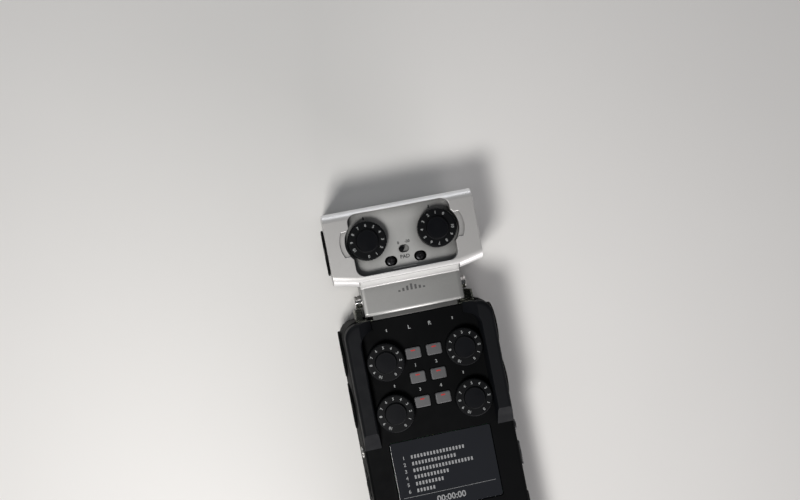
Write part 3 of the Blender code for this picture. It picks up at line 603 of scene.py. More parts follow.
def finger_step(knob):
    """Shallow crescent outside a knob's bay, cut off square at both ends."""
    radius, reach, depth, flare = 13.3, 6.2, 0.9, 0.14
    cx, cy = centre(knob)
    tilt = math.degrees(math.asin(reach / radius))
    middle = 0 if cx > 0 else 180
    curve = arc(cx, cy, radius, middle - tilt, middle + tilt, 24)
    outline = curve + [(cx, curve[-1][1]), (cx, curve[0][1])]
    middle_x = cx + math.copysign(0.75 * radius, cx)

    def widened(growth):
        """The outline with every point moved outward from its own middle."""
        points = [(x - middle_x, y - cy) for x, y in outline]
        across = 1 + growth / (radius - abs(middle_x - cx))
        return [(middle_x + x * across, cy + y * (1 + growth / reach)) for x, y in points]

    steps = ((-depth, 0), (-0.12, 0), (0.01, flare), (1, flare))
    return loft([(BLOCK_TOP + height, widened(growth)) for height, growth in steps])


def capsule_shell():
    stations = [(BLOCK_HALF_W, 0.5), (BLOCK_HALF_W - 0.15, 0.15), (BLOCK_HALF_W - 0.5, 0)]
    stations.append((NECK_HALF_W, 0))
    levels = [(-x, block_section(x, inset)) for x, inset in stations]
    levels += [(x, block_section(x, inset)) for x, inset in reversed(stations)]
    shell = loft(levels, "X")
    near, far = BLOCK_INSIDE_NEAR, BLOCK_INSIDE_FAR
    end_wall, roof, slope = 1.8, BLOCK_TOP - 1.5, 3.0
    section = [(near, 0), (far, 0), (far, roof - slope), (far - slope, roof)]
    section += [(near + slope, roof), (near, roof - slope)]
    half = BLOCK_HALF_W - end_wall
    cavity = slab(section, -half, half, "X")
    cut(cavity, face_opening(1.2, PANEL_Z + GAP, BLOCK_TOP))
    flare = ((BLOCK_TOP - 0.4, 0), (BLOCK_TOP - 0.12, 0.1), (BLOCK_TOP, 0.32))
    cut(shell, cavity, face_opening(0, PANEL_Z - 2, BLOCK_TOP + 5, flare))
    cut(shell, *[finger_step(knob) for knob in KNOBS[4:]])
    jack_hole = (0, centre(JACKS[4])[1], JACK_Z)
    cut(shell, drum(jack_hole, JACK_BORE_R, 3 * BLOCK_HALF_W, "X", 96))
    half, seat_low, past_top = NECK_HALF_W + 0.06, 37.4, BLOCK_TOP + 7.2
    seat = box((-half, 12, seat_low), (half, NOSE_Y + 0.02, past_top))
    wires = box((-12, 14, 18), (12, 22, 28))
    cut(shell, seat, wires)
    show("capsule_shell", shell, SILVER, "capsule", "silver_paint", "capsule_housing")


def capsule_floor():
    """Bottom plate of the block, with its four screws."""
    play = 0.2

    def outline(draw_in):
        near, end, out = BLOCK_NEAR, BLOCK_END_NEAR, play + draw_in
        half, far = BLOCK_HALF_W - out, BLOCK_FAR - out
        return [
            (-NECK_HALF_W, near + out),
            (NECK_HALF_W, near + out),
            (half, end + out),
            (half, far),
            (-half, far),
            (-half, end + out),
        ]

    plate = loft([(4.0, outline(0.5)), (4.5, outline(0)), (4.9, outline(0))])
    join(plate, box((-35.3, 20.8, 4.6), (35.3, 51.8, 6.2)))
    corners = [(x, y) for x in (-32, 32) for y in (24.5, 48.5)]
    cut(plate, *[drum((x, y, 4), 2.3, 1.2, sides=40) for x, y in corners])
    show("capsule_floor", plate, BLACK, "capsule", "black_plastic", "capsule_base", edge=0.2)
    heads = [screw_head(x, y, 4.1, "-Z") for x, y in corners]
    show("capsule_floor_screws", merged(heads), DARK_STEEL, "capsule", "plated_steel", edge=0.08)


def screw_head(x, y, top, axis="Z", radius=1.9):
    """Pan head with a cross recess, its crown at height top."""
    depth = 1.2
    bends = arc(0, 0, 1, 90, 0, 6)
    crown = [(radius * 0.55 + radius * 0.45 * a, -0.45 + 0.45 * b) for a, b in bends]
    head = lathe([(0, -depth), (0, 0)] + crown + [(radius, -depth)], axis, (x, y, top), 40)
    for a, b in ((0.72, 0.17), (0.17, 0.72)):
        a, b = a * radius, b * radius
        cut(head, box((x - a, y - b, top - 0.75), (x + a, y + b, top + 0.75)))
    return head


def control_panel():
    """Recessed face with its lip, two screws in cups, and holes for shafts and slider."""
    half, near, far = 29.5, BLOCK_INSIDE_NEAR + GAP, BLOCK_INSIDE_FAR - GAP
    recess_half, cup_wall, shaft_hole_r = (3.1, 2.45), (3.7, 3.0), 3.5
    panel = slab(rounded(-half, half, near, far, 4), PANEL_Z - PANEL_T, PANEL_Z)
    holes = [slab(obround(0, PAD_Y, 2.6, 1.9), PANEL_Z - 3, PANEL_Z + 2)]
    for side, knob in zip((-1, 1), KNOBS[4:]):
        holes.append(drum((*centre(knob), PANEL_Z), shaft_hole_r, 6, sides=48))
        recess = obround(side * SCREW_X, SCREW_Y, *recess_half)
        holes.append(slab(recess, PANEL_Z - 3, PANEL_Z + 2))
    cut(panel, *holes)
    show("control_panel", panel, PANEL, "capsule", "silver_paint", "capsule_panel")
    lip = rounded(-7.2, 4.7, 21.6, 22.3, 0.34, steps=6)
    bar = slab(lip, PANEL_Z - 0.1, PANEL_Z + 1.0)
    show("panel_lip", bar, SILVER, "capsule", "silver_paint", edge=0.15)
    cups, heads, cup_low = [], [], 33.0
    for side in (-1, 1):
        x, y = side * SCREW_X, SCREW_Y
        cup = slab(obround(x, y, *cup_wall), cup_low, PANEL_Z - PANEL_T - 0.02)
        hollow = slab(obround(x, y, *recess_half), cup_low + 0.5, PANEL_Z)
        cups.append(cut(cup, hollow, drum((x, y, cup_low), 1.4, 3, sides=32)))
        heads.append(screw_head(x, y, PANEL_Z - 0.7, radius=2.15))
        heads.append(drum((x, y, 30.6), 1.15, 8.0, sides=24))
    show("screw_cups", merged(cups), BLACK, "capsule", "black_plastic", edge=0.1)
    nodes = ("panel_screw_left", "panel_screw_right")
    show("panel_screws", merged(heads), DARK_STEEL, "capsule", "plated_steel", *nodes, edge=0.08)


def pad_slider():
    """Attenuator: a dark nub on a pale slide that closes its slot from below."""
    top = PANEL_Z - PANEL_T - GAP
    slide = box((PAD_X - 4.1, PAD_Y - 1.7, top - 1.0), (PAD_X + 4.1, PAD_Y + 1.7, top))
    show("pad_slide_plate", slide, PANEL, "pad_slider", "silver_paint", edge=0.1)
    profile = [(0, top - 0.5), (1.2, top - 0.5), (1.2, 37.3), (1.0, 37.55)]
    profile += [(0.55, 37.6), (0, 37.35)]
    nub = lathe(profile, at=(PAD_X, PAD_Y, 0), sides=40)
    show("pad_nub", nub, KNOB, "pad_slider", "black_plastic", "capsule_pad_slider", edge=0.08)


def neck_section(drop=0.0):
    """Outline of the neck as (y, z) points, its upper side lowered by drop."""
    back, face, nose, r = BLOCK_NEAR - GAP, NECK_FACE - drop, 42.0 - drop, 1.7
    return [
        (NECK_NEAR, NECK_LOW),
        (back, NECK_LOW),
        (back, 37.8 - drop / 2),
        (NOSE_Y, 37.8),
        (NOSE_Y, nose),
        (NOSE_Y - 0.3, nose - 0.1),
        (15.9, face + 0.5),
        (15.1, face),
    ] + arc(NECK_NEAR + r, face - r, r, 90, 180, 10)


def dock_mouth(near, far):
    """Cutter for the opening that the capsule's plug goes through."""
    return box((-MOUTH_HALF_W, near, MOUTH_LOW), (MOUTH_HALF_W, far, MOUTH_TOP))


def capsule_neck():
    half = NECK_HALF_W
    stations = [(half, 0.9), (half - 0.3, 0.62), (half - 2.0, 0)]
    levels = [(-x, neck_section(drop)) for x, drop in stations]
    levels += [(x, neck_section(drop)) for x, drop in reversed(stations)]
    neck = loft(levels, "X")
    cavity = box((-23, 3.6, NECK_LOW + 2), (23, BLOCK_NEAR + 2, NECK_FACE - 2.4))
    bore = drum((0, RELEASE_Y, RELEASE_Z), RELEASE_R + GAP, 3 * half, "X")
    cut(neck, cavity, dock_mouth(-3, 8), bore)
    show("neck_casting", neck, SHADED_NECK, "capsule", "silver_paint", "capsule_neck")
    low, high = (-TONGUE_HALF_W, PLATE_NEAR, NECK_LOW + 2), (TONGUE_HALF_W, 1.5, 35.0)
    tongue = cut(box(low, high), dock_mouth(-3, 8))
    show("neck_tongue", tongue, TONGUE, "capsule", "silver_paint", edge=0.4, segments=3)
    bars = []
    heights, spacing, foot = (0.8, 1.5, 2.2, 2.9, 2.2, 1.5, 0.8), 2.05, 10.6
    for i, height in enumerate(heights):
        place = flat((i - 3) * spacing, foot + height / 2, NECK_FACE + PRINT_LIFT)
        bars.append(((1.0, height), 0, place))
    show("level_bars", lettering(bars), MARK_INK, "capsule", "silver_paint")


def release_buttons():
    """Round keys in the neck's sides, each with a groove and a flange that keeps it in."""
    flange_r, flange_out, flange_in, length = 4.2, 5.5, 6.7, 10.0
    for side, word, axis in ((-1, "left", "-X"), (1, "right", "X")):
        node = f"release_button_{word}"
        a, b = where(node)
        tip = b.x if side > 0 else -a.x
        r = RELEASE_R
        profile = [(0, tip - length), (1.5, tip - length), (1.5, tip - flange_in)]
        profile += [(flange_r, tip - flange_in), (flange_r, tip - flange_out)]
        profile += [(r, tip - flange_out), (r, tip - 1.7), (r - 0.3, tip - 1.5)]
        profile += [(r - 0.3, tip - 1.2), (r, tip - 1.0), *round_edge(r, tip, 0.7, 8)]
        profile += [(1.6, tip - 0.1), (0, tip - 0.25)]
        at = (0, (a.y + b.y) / 2, (a.z + b.z) / 2)
        button = lathe(profile, axis, at, 64)
        show(f"release_key_{word}", button, CHROME, node, "plated_steel", node, edge=0.06)


def knob(node):
    """Gain knob: a numbered skirt with fine notches and a raised flat cap."""
    a, b = where(node)
    number = int(node[-1])
    x, y = centre(node)
    radius, low, top = (b.x - a.x) / 2, a.z, b.z
    cap_r, skirt = 0.56 * radius, b.z - 1.6
    bore, roof = 3.2, top - 1.8
    profile = [(0, roof), (bore, roof), (bore, low), (radius - 0.4, low), (radius, low + 0.4)]
    profile += round_edge(radius, skirt, 0.7, 5)
    profile += [(cap_r + 0.55, skirt), (cap_r + 0.25, skirt + 0.15)]
    profile += round_edge(cap_r, top, 0.5, 5)
    profile += [(cap_r - 1.1, top - 0.05), (0, top - 0.12)]
    notched = (40, 0.14, radius - 0.75)
    body = lathe(profile, at=(x, y, 0), sides=240, scallop=notched)
    show(f"gain_dial_{number}", body, KNOB, node, "black_plastic", node)
    disc_r = cap_r - 0.25
    profile = [(0, top - 0.3), (disc_r, top - 0.3), (disc_r, top - 0.02), (0, top + 0.1)]
    disc = lathe(profile, at=(x, y, 0), sides=96)
    show(f"gain_cap_{number}", disc, CAP, node, "black_plastic")
    zero_at, ring, size = ZERO_OF_SET_KNOBS.get(number, ZERO_AT), 0.785 * radius, 0.205 * radius
    entries = []
    for n in range(NUMERALS):
        turn = zero_at + NUMERAL_STEP * n
        t = math.radians(turn)
        at_x, at_y = x + ring * math.cos(t), y + ring * math.sin(t)
        entries.append((str(n), size, flat(at_x, at_y, skirt + PRINT_LIFT, turn - 90)))
    show(f"gain_numerals_{number}", lettering(entries), NUMERAL_INK, node, "black_plastic")


def jack(node, body):
    """Combination socket: bezel, groove, an insert with three pin holes, and a latch."""
    a, b = where(node)
    side = 1 if a.x > 0 else -1
    face = b.x if side > 0 else -a.x
    axis = "X" if side > 0 else "-X"
    at = (0, (a.y + b.y) / 2, (a.z + b.z) / 2)
    outer, tube, groove, insert, bore, back = 11.5, 10.6, 9.4, 7.6, 3.25, 18.0
    proud = 1.1
    profile = [(groove, face - 0.4), (groove, face - 13.6), (insert, face - 13.6)]
    profile += [(insert, face - back + 2), (0, face - back + 2), (0, face - back)]
    profile += [(tube, face - back), (tube, face - proud), (outer, face - proud)]
    profile += round_edge(outer, face, 0.5) + [(groove + 0.5, face - 0.05)]
    shell = lathe(profile, axis, at, 96)
    show(f"{node}_bezel", shell, BLACK, body, "black_plastic", node, edge=0.12)
    number = node[-1]
    core = [(bore, face - 0.9), (bore, face - 16.2), (insert - 0.05, face - 16.2)]
    core += [(insert - 0.05, face - 1.3), (insert - 0.45, face - 0.9)]
    core = lathe(core, axis, at, 80)
    pins = []
    for turn in (30, 150, 270):
        t = math.radians(turn)
        y, z = at[1] + 5.4 * math.cos(t), at[2] + 5.4 * math.sin(t)
        pins.append((side * (face - 3), y, z))
    cut(core, *[drum(pin, 1.15, 8, "X", 32) for pin in pins])
    show(f"jack_core_{number}", core, KNOB, body, "black_plastic", edge=0.12)
    sleeve = [(0.8, face - 3.2), (1.1, face - 3.2), (1.1, face - 6.5), (0.8, face - 6.5)]
    sleeves = [lathe(sleeve, axis, (0, y, z), 32) for _, y, z in pins]
    show(f"jack_contacts_{number}", merged(sleeves), GOLD, body, "brass")
    low, high = face - 6, face + 0.05
    x0, x1 = (low, high) if side > 0 else (-high, -low)
    tab = box((x0, at[1] - 2.3, at[2] + 7.75), (x1, at[1] + 2.3, at[2] + 9.3))
    show(f"jack_latch_{number}", tab, STEEL, body, "plated_steel", edge=0.3, segments=3)


def plug_and_socket():
    a, b = where("capsule_plug")
    plug = box(a, b)
    for z in (22, 24):
        cut(plug, box((a.x + 1.2, a.y - 1, z - 0.25), (b.x - 1.2, a.y + 5.5, z + 0.25)))
    show("dock_plug", plug, BLACK, "capsule", "black_plastic", "capsule_plug", edge=0.3)
    strips = []
    for i in range(CONTACTS):
        x = a.x + 2.2 + CONTACT_STEP * i
        for z in (a.z + 0.02, b.z - 0.02):
            strips.append(box((x - 0.4, a.y + 0.6, z - 0.05), (x + 0.4, a.y + 6, z + 0.05)))
    show("dock_plug_contacts", merged(strips), GOLD, "capsule", "brass")


def capsule():
    capsule_shell()
    capsule_floor()
    control_panel()
    pad_slider()
    capsule_neck()
    release_buttons()
    plug_and_socket()
    z, index = PANEL_Z + PRINT_LIFT, (0.7, 1.5)
    marks = [
        (index, 0, flat(-16.9, 49.0, z, 4)),
        (index, 0, flat(15.7, 49.0, z, -8)),
        ("0", 1.9, flat(-2.3, 34.1, z)),
        ("-20", 1.9, flat(2.2, 34.2, z)),
        ("PAD", 2.5, flat(-0.2, 27.1, z)),
    ]
    show("panel_marks", lettering(marks), DARK_INK, "capsule", "silver_paint")
    for node in JACKS[4:]:
        jack(node, "capsule")


# ---- recorder case ----


def case_outline(inset=0.0, head=BODY_HEAD, steps=14):
    half, r = BODY_HALF_W - inset, max(0.5, CORNER_R - inset)
    return rounded(-half, half, BODY_END + inset, head, r, steps=steps)


def shared_cutters():
    """Seats of the dock plate and of the four sockets, which both shells take part of."""
    half = 29.5 + GAP
    made = [box((-half, PLATE_NEAR - GAP, 9 - GAP), (half, 3, 50))]
    for node in JACKS[:4]:
        a, b = where(node)
        y, side = (a.y + b.y) / 2, 1 if a.x > 0 else -1
        made.append(drum((side * BODY_HALF_W, y, JACK_Z), JACK_BORE_R, 9, "X", 96))
        made.append(drum((side * (BODY_HALF_W + 2), y, JACK_Z), JACK_SEAT_R, 6, "X", 96))
    return made


def back_shell():
    r = 2.5
    levels = quarter(r, 8)[::-1]
    levels.append((SPLIT_Z - GAP, 0))
    shell = loft([(z, case_outline(inset, BODY_HEAD - inset)) for z, inset in levels])
    inside = slab(case_outline(WALL, -2.4), WALL, SPLIT_Z + 3)
    holes = [inside, *shared_cutters()]
    speaker_y, bush_y = -36.0, -70.0
    for i in range(5):
        slot = obround(0, speaker_y - 6 + 3 * i, 7, 0.6)
        holes.append(slab(slot, -1, WALL + 1))
    holes.append(drum((0, bush_y, WALL), 5.5, 8, sides=64))
    end = BODY_END - 2
    for grow, low, high in ((GAP, -1, WALL + 1), (2, 1.0, WALL + 0.6)):
        half = DOOR_HALF_W + grow
        holes.append(box((-half, end, low), (half, DOOR_HEAD + grow, high)))
    feet = [(x, y) for x in (-30, 30) for y in (-14, -86)]
    screws = [(x, y) for x in (-24, 24) for y in (-20, -78)]
    holes += [drum((x, y, 0), 2.4, 2.2, sides=48) for x, y in screws]
    cut(shell, *holes)
    show("back_shell", shell, BLACK, "recorder", "black_plastic", "back_case", edge=0.18)
    heads = [screw_head(x, y, 0.45, "-Z") for x, y in screws]
    show("case_screws", merged(heads), DARK_STEEL, "recorder", "plated_steel", edge=0.08)
    pads = []
    for x, y in feet:
        pads.append(pillow(lambda inset: circle(x, y, 3.6 - inset, 48), 0.02, 0.6, 0.2, 3))
    show("rubber_feet", merged(pads), RUBBER, "recorder", "black_rubber")


def face_holes():
    low, high = FACE_Z - WALL - 2, FACE_Z + 2
    a, b = where("display_window")
    made = [slab(rounded(a.x - GAP, b.x + GAP, a.y - GAP, b.y + GAP, 1.5), low, high)]
    for node in TRACK_KEYS:
        cx, cy = centre(node)
        made.append(slab(rounded(cx - 4.1, cx + 4.1, cy - 3.0, cy + 3.0, 0.9), low, high))
    for node in KNOBS[:4]:
        made.append(drum((*centre(node), FACE_Z), 3.5, 8, sides=40))
    for node, radius in transport().items():
        made.append(drum((*centre(node), FACE_Z), radius + GAP, 8, sides=72))
    return made


def transport():
    """Round keys and their radii above the flange."""
    words = ("stop", "play", "record", "rewind", "forward")
    found = {}
    for word in words:
        a, b = where(f"{word}_button")
        found[f"{word}_button"] = (b.x - a.x) / 2 - 0.8
    return found


def side_holes():
    z = SIDE_Z

    def opening(wall_x, y, half_y, half_z, depth, r=0.8):
        return slab(padded(y, z, half_y, half_z, r), wall_x - depth, wall_x + depth, "X")

    left, right = -BODY_HALF_W, BODY_HALF_W
    power_y = centre("power_slider")[1]
    return [
        drum((left, centre("phones_socket")[1], z), 3.1, 10, "X", 48),
        opening(left, centre("volume_dial")[1], 6.6, 2.1, 4.0),
        opening(left - 2, power_y, 7.4, 2.6, 3.3, 1.6),
        opening(left, power_y, 4.4, 1.6, 5.0),
        opening(left, centre("usb_socket")[1], 4.2, 1.9, 4.0),
        drum((right, centre("menu_button")[1], z), 3.3, 10, "X", 48),
        opening(right, centre("scroll_rocker")[1], 6.6, 2.6, 4.0),
        opening(right, centre("card_cover")[1], 13.4, 4.0, 4.0),
    ]


def front_shell():
    top_r, steps = 1.5, 6

    def outline(z, inset):
        lean = SIDE_DRAFT * (z - SPLIT_Z) / (FACE_Z - SPLIT_Z)
        half, r = BODY_HALF_W - lean - inset, CORNER_R - inset
        return rounded(-half, half, BODY_END + lean + inset, BODY_HEAD - inset, r, steps=14)

    levels = [(SPLIT_Z, 0)] + [(FACE_Z - drop, inset) for drop, inset in quarter(top_r, steps)]
    shell = loft([(z, outline(z, inset)) for z, inset in levels])
    cavity = slab(case_outline(WALL + 1.2, -2.4), SPLIT_Z - 3, FACE_Z - WALL)
    plug = box((-10.5, -5, 19.7), (10.5, 3, 26.3))
    cut(shell, cavity, plug, *shared_cutters())
    cut(shell, *face_holes())
    cut(shell, *side_holes())
    show("front_shell", shell, BLACK, "recorder", "black_plastic", "front_case", edge=0.18)


def guard_outline(outer, inner, head, foot, side):
    """Plan of a side guard: a rail that turns the corner at the dock end."""
    arm_x, arm_y, r = 23.0, -5.4, 6.5
    line = [(inner, foot), (outer, foot)]
    line += arc(outer - 7.2, head - 7.2, 7.2, 0, 90, 16)
    line += [(arm_x, head), (arm_x, arm_y)]
    line += arc(inner - r, arm_y - r, r, 90, 0, 12)
    return line if side > 0 else [(-x, y) for x, y in reversed(line)]


def side_guard(word, side):
    outer, inner, head, foot, top, low = 37.2, 28.9, -0.5, -62.0, 42.6, FACE_Z + 0.05
    r, steps = 1.6, 7

    def outline(z, inset):
        lean = (z - low) / (top - low)
        out = outer - 0.75 * lean - inset
        inn = inner + 0.7 * lean + 0.35 * inset
        return guard_outline(out, inn, head - 0.3 * lean - inset, foot, side)

    levels = [(low, 0)] + [(top - drop, inset) for drop, inset in quarter(r, steps)]
    guard = loft([(z, outline(z, inset)) for z, inset in levels])
    ends = (
        ((side * 35, foot, FACE_Z + 1.2), Euler((math.radians(38), 0, 0))),
        ((side * 23, head, FACE_Z + 1.2), Euler((0, -side * math.radians(46), 0))),
    )
    for at, tilt in ends:
        ramp = box((-16, -16, 0), (16, 16, 16))
        ramp.data.transform(Matrix.Translation(at) @ tilt.to_matrix().to_4x4())
        cut(guard, ramp)
    node = f"side_guard_{word}"
    show(f"guard_rail_{word}", guard, RUBBER, "recorder", "black_rubber", node)


def dock():
    outer, inner, cheek, low, top = 29.5, NECK_HALF_W + 0.5, 5.3, 9.0, 34.8
    near, far = PLATE_NEAR, -0.3
    line = [(-outer, near), (outer, near), (outer, cheek), (inner, cheek), (inner, far)]
    line += [(-inner, far), (-inner, cheek), (-outer, cheek)]
    plate = slab(line, low, top)
    half = TONGUE_HALF_W + GAP
    notch = box((-half, -3, low + 2.4), (half, 3, top + 3))
    cheeks = box((-32, 0.1, top - 1.6), (32, 8, top + 3))
    pockets = [box((24, far, low + 5), (outer - 0.8, 8, top + 3))]
    pockets.append(box((0.8 - outer, far, low + 5), (-24, 8, top + 3)))
    cut(plate, notch, cheeks, *pockets)
    show("dock_collar", plate, COLLAR, "recorder", "plated_steel", "dock_plate", edge=0.16)
    a, b = where("dock_socket")
    body = cut(box(a, b), dock_mouth(-9.5, 0))
    show("dock_receiver", body, BLACK, "recorder", "black_plastic", "dock_socket", edge=0.2)
    springs = []
    for i in range(CONTACTS):
        x = -7.8 + CONTACT_STEP * i
        for low in (MOUTH_LOW + 0.02, MOUTH_TOP - 0.12):
            springs.append(box((x - 0.35, -9.4, low), (x + 0.35, -3.4, low + 0.1)))
    show("dock_springs", merged(springs), GOLD, "recorder", "brass")


def battery_bay():
    end, head, half = BODY_END + 0.2, DOOR_HEAD, DOOR_HALF_W
    door = box((-half, end, 0.3), (half, head, 1.6))
    join(door, box((-half - 1.6, end, 1.3), (half + 1.6, head + 1.6, 2.2)))
    ribs = [slab(obround(0, head - 6 - 2.4 * i, 9 - 0.8 * i, 0.5), -1, 0.75) for i in range(6)]
    cut(door, *ribs)
    show("battery_lid", door, BLACK, "battery_door", "black_plastic", "battery_door", edge=0.2)
    arrow = [(-3.2, head - 23), (0, head - 28), (3.2, head - 23)]
    mark = slab(arrow, 0.24, 0.4)
    show("lid_arrow", mark, GREY_INK, "battery_door", "black_plastic")
    for n in range(1, 5):
        cell(f"battery_cell_{n}")


def cell(node):
    a, b = where(node)
    x, z, r = (a.x + b.x) / 2, (a.z + b.z) / 2, 7.1
    low, high = a.y, b.y
    wrap = [(0, low + 0.3), (3.2, low + 0.3), (3.6, low), (r - 0.6, low), (r, low + 0.6)]
    wrap += [(r, high - 2.0), (r - 0.6, high - 1.3), (3.4, high - 1.3), (0, high - 1.3)]
    body = lathe(wrap, "Y", (x, 0, z), 64)
    show(f"cell_{node[-1]}", body, WRAP, "recorder", "cell_wrap", node, edge=0.1)
    knob_profile = [(0, high - 1.6), (2.6, high - 1.6), (2.6, high - 0.3), (2.3, high), (0, high)]
    tip = lathe(knob_profile, "Y", (x, 0, z), 40)
    inner, outer = r - 0.2, r + 0.03
    profile = [(inner, high - 9), (outer, high - 9), (outer, high - 3), (inner, high - 3)]
    band = lathe(profile, "Y", (x, 0, z), 64)
    show(f"cell_ends_{node[-1]}", merged([tip, band]), STEEL, "recorder", "cell_wrap")


def underside():
    a, b = where("tripod_bush")
    low, high = a.z, b.z
    outer, root, crest, pitch, turns = 5.2, 3.2, 2.75, 1.27, 5
    profile = [(0, high), (0, high - 1), (root, high - 1)]
    for i in range(turns):
        z = high - 1.2 - pitch * i
        profile += [(root, z), (crest, z - pitch * 0.45), (crest, z - pitch * 0.55)]
    profile += [(root, low + 0.4), (3.6, low), (5.0, low), (outer, low + 0.2), (outer, high)]
    bush = lathe(profile, at=(*centre("tripod_bush"), 0), sides=72)
    show("threaded_bush", bush, BRASS, "recorder", "brass", "tripod_bush")


# ---- recorder controls ----


def key_cap(node):
    """Rectangular key with rounded edges, and the flange that keeps it in."""
    flange, corner, smallest = 0.7, 0.8, 0.15
    a, b = where(node)
    x0, x1, y0, y1 = a.x + flange, b.x - flange, a.y + flange, b.y - flange

    def outline(inset):
        r = max(smallest, corner - inset)
        return rounded(x0 + inset, x1 - inset, y0 + inset, y1 - inset, r, steps=5)

    cap = pillow(outline, a.z + 0.1, b.z, 0.55)
    join(cap, box((a.x, a.y, a.z), (b.x, b.y, a.z + 0.8)))
    word = node.split("_")[-1]
    show(f"track_key_{word}", cap, GREY, node, "grey_keycap", node, edge=0.08)
    middle = (x0 + x1) / 2
    lens = rounded(middle - 1.1, middle + 1.1, y1 - 1.7, y1 - 1.1, 0.28, steps=5)
    lamp = slab(lens, b.z - 0.2, b.z + 0.06)
    show(f"track_lamp_{word}", lamp, RED, node, "record_red")


def icon(word, x, y, size):
    """Outlines of a transport symbol."""

    def triangle(cx, direction):
        tip, base = cx + direction * size, cx - direction * size * 0.7
        line = [(base, y - size), (tip, y), (base, y + size)]
        return line if direction > 0 else line[::-1]

    if word == "play":
        return [triangle(x, 1)]
    if word == "stop":
        return [rounded(x - size, x + size, y - size, y + size, 0.2, steps=3)]
    if word == "record":
        return [circle(x, y, size * 1.05, 40)]
    direction = 1 if word == "forward" else -1
    return [triangle(x - 0.85 * size, direction), triangle(x + 0.85 * size, direction)]


def transport_keys():
    for node, radius in transport().items():
        word = node.split("_")[0]
        a, b = where(node)
        x, y = centre(node)
        low, top = a.z, b.z
        profile = [(0, low), (radius + 0.8, low), (radius + 0.8, low + 0.8), (radius, low + 0.8)]
        profile += round_edge(radius, top, 0.6)
        profile += [(radius - 1.3, top - 0.08), (radius * 0.5, top - 0.28), (0, top - 0.35)]
        cap = lathe(profile, at=(x, y, 0), sides=80)
        material, slot = (RED, "record_red") if word == "record" else (GREY, "grey_keycap")
        show(f"{word}_key", cap, material, node, slot, node)
        size = 1.7 if word in ("play", "stop", "record") else 1.25
        shapes = [slab(line, top - 0.45, top - 0.2) for line in icon(word, x, y, size)]
        show(f"{word}_symbol", merged(shapes), WHITE_INK, node, slot)


def display():
    """Window with six numbered level meters over a time counter."""
    a, b = where("display_window")

    def outline(inset):
        return rounded(a.x + inset, b.x - inset, a.y + inset, b.y - inset, 1.2)

    window = pillow(outline, a.z, b.z, 0.25, 3)
    show("display_glass", window, GLASS, "recorder", "screen_glass", "display_window")
    z = b.z + 0.015
    middle_y = (a.y + b.y) / 2
    segment, segment_step, row_step = (0.9, 1.7), 1.6, 3.3
    marks = []
    for row, count in enumerate((17, 14, 19, 11, 9, 6)):
        y = middle_y + 9.5 - row_step * row
        marks += [(segment, 0, flat(-15.5 + segment_step * i, y, z)) for i in range(count)]
        marks.append((str(row + 1), 2.4, flat(-19.6, y, z)))
    marks.append(("00:00:00", 4.2, flat(0, middle_y - 13.2, z)))
    marks.append(((46, 0.15), 0, flat(0, middle_y - 9.6, z)))
    print_thickness = 0.03
    segments = lettering(marks, print_thickness)
    show("display_segments", segments, GREY_INK, "recorder", "screen_glass")


def volume_dial():
    a, b = where("volume_dial")
    x, y = centre("volume_dial")
    r = (b.x - a.x) / 2
    profile = [(0, a.z), (r - 0.5, a.z), (r, a.z + 0.5), (r, b.z - 0.5), (r - 0.5, b.z), (0, b.z)]
    dial = lathe(profile, at=(x, y, 0), sides=240, scallop=(60, 0.25, r - 0.1))
    show("volume_wheel", dial, KNOB, "volume_dial", "black_plastic", "volume_dial")


def power_slider():
    """Thumb with five grip grooves, and the stem and foot that hold it in its slot."""
    wall, z, y = -BODY_HALF_W, SIDE_Z, centre("power_slider")[1]
    thumb = slab(padded(y, z, 4.5, 2.2, 0.9), wall - 0.2, wall + 1.0, "X")
    grip_step, grip_half = 1.2, 0.3
    for i in range(-2, 3):
        middle = y + grip_step * i
        low, high = (wall - 1, middle - grip_half, z - 3), (wall + 0.2, middle + grip_half, z + 3)
        cut(thumb, box(low, high))
    join(thumb, box((wall + 0.5, y - 1.5, z - 1.2), (wall + 4.2, y + 1.5, z + 1.2)))
    join(thumb, box((wall + 3.5, y - 3, z - 2.3), (wall + 4.6, y + 3, z + 2.3)))
    show("power_thumb", thumb, GREY, "power_slider", "grey_keycap", "power_slider", edge=0.12)


def menu_key():
    profile = [(0, 34), (3.8, 34), (3.8, 35.2), (3.0, 35.2), (3.0, 38.7), (2.85, 39.0)]
    profile += [(2.5, 39.2), (1.2, 39.12), (0, 39.05)]
    menu = lathe(profile, "X", (0, centre("menu_button")[1], SIDE_Z), 56)
    show("menu_key", menu, GREY, "menu_button", "grey_keycap", "menu_button")


def scroll_rocker():
    """Long key with three grip grooves at each end, on a wider foot."""
    y, z = centre("scroll_rocker")[1], SIDE_Z
    key = slab(padded(y, z, 6, 2.2, 0.8), 34.8, 39.2, "X")
    groove_half = 0.25
    for offset in (-4.2, -3.2, -2.2, 2.2, 3.2, 4.2):
        middle = y + offset
        cut(key, box((38.9, middle - groove_half, z - 3), (40, middle + groove_half, z + 3)))
    join(key, box((34.0, y - 7.2, z - 3), (35.2, y + 7.2, z + 3)))
    show("rocker_key", key, GREY, "scroll_rocker", "grey_keycap", "scroll_rocker", edge=0.15)


def card_flap():
    """Cover of the card slot, with a dished grip for a fingernail and a groove."""
    a, b = where("card_cover")
    z = SIDE_Z
    flap = slab(rounded(a.y, b.y, a.z, b.z, 1.0, steps=6), a.x, b.x, "X")
    dish = [(0, 0), (1.2, 0.1), (2.4, 0.6), (2.4, 3), (0, 3)]
    nail = lathe(dish, "X", (b.x - 0.55, a.y + 3.6, z), 40)
    cut(flap, nail, box((b.x - 0.25, a.y + 7.8, z - 2.6), (b.x + 1, a.y + 8.1, z + 2.6)))
    show("card_flap", flap, RUBBER, "card_cover", "black_rubber", "card_cover", edge=0.22)


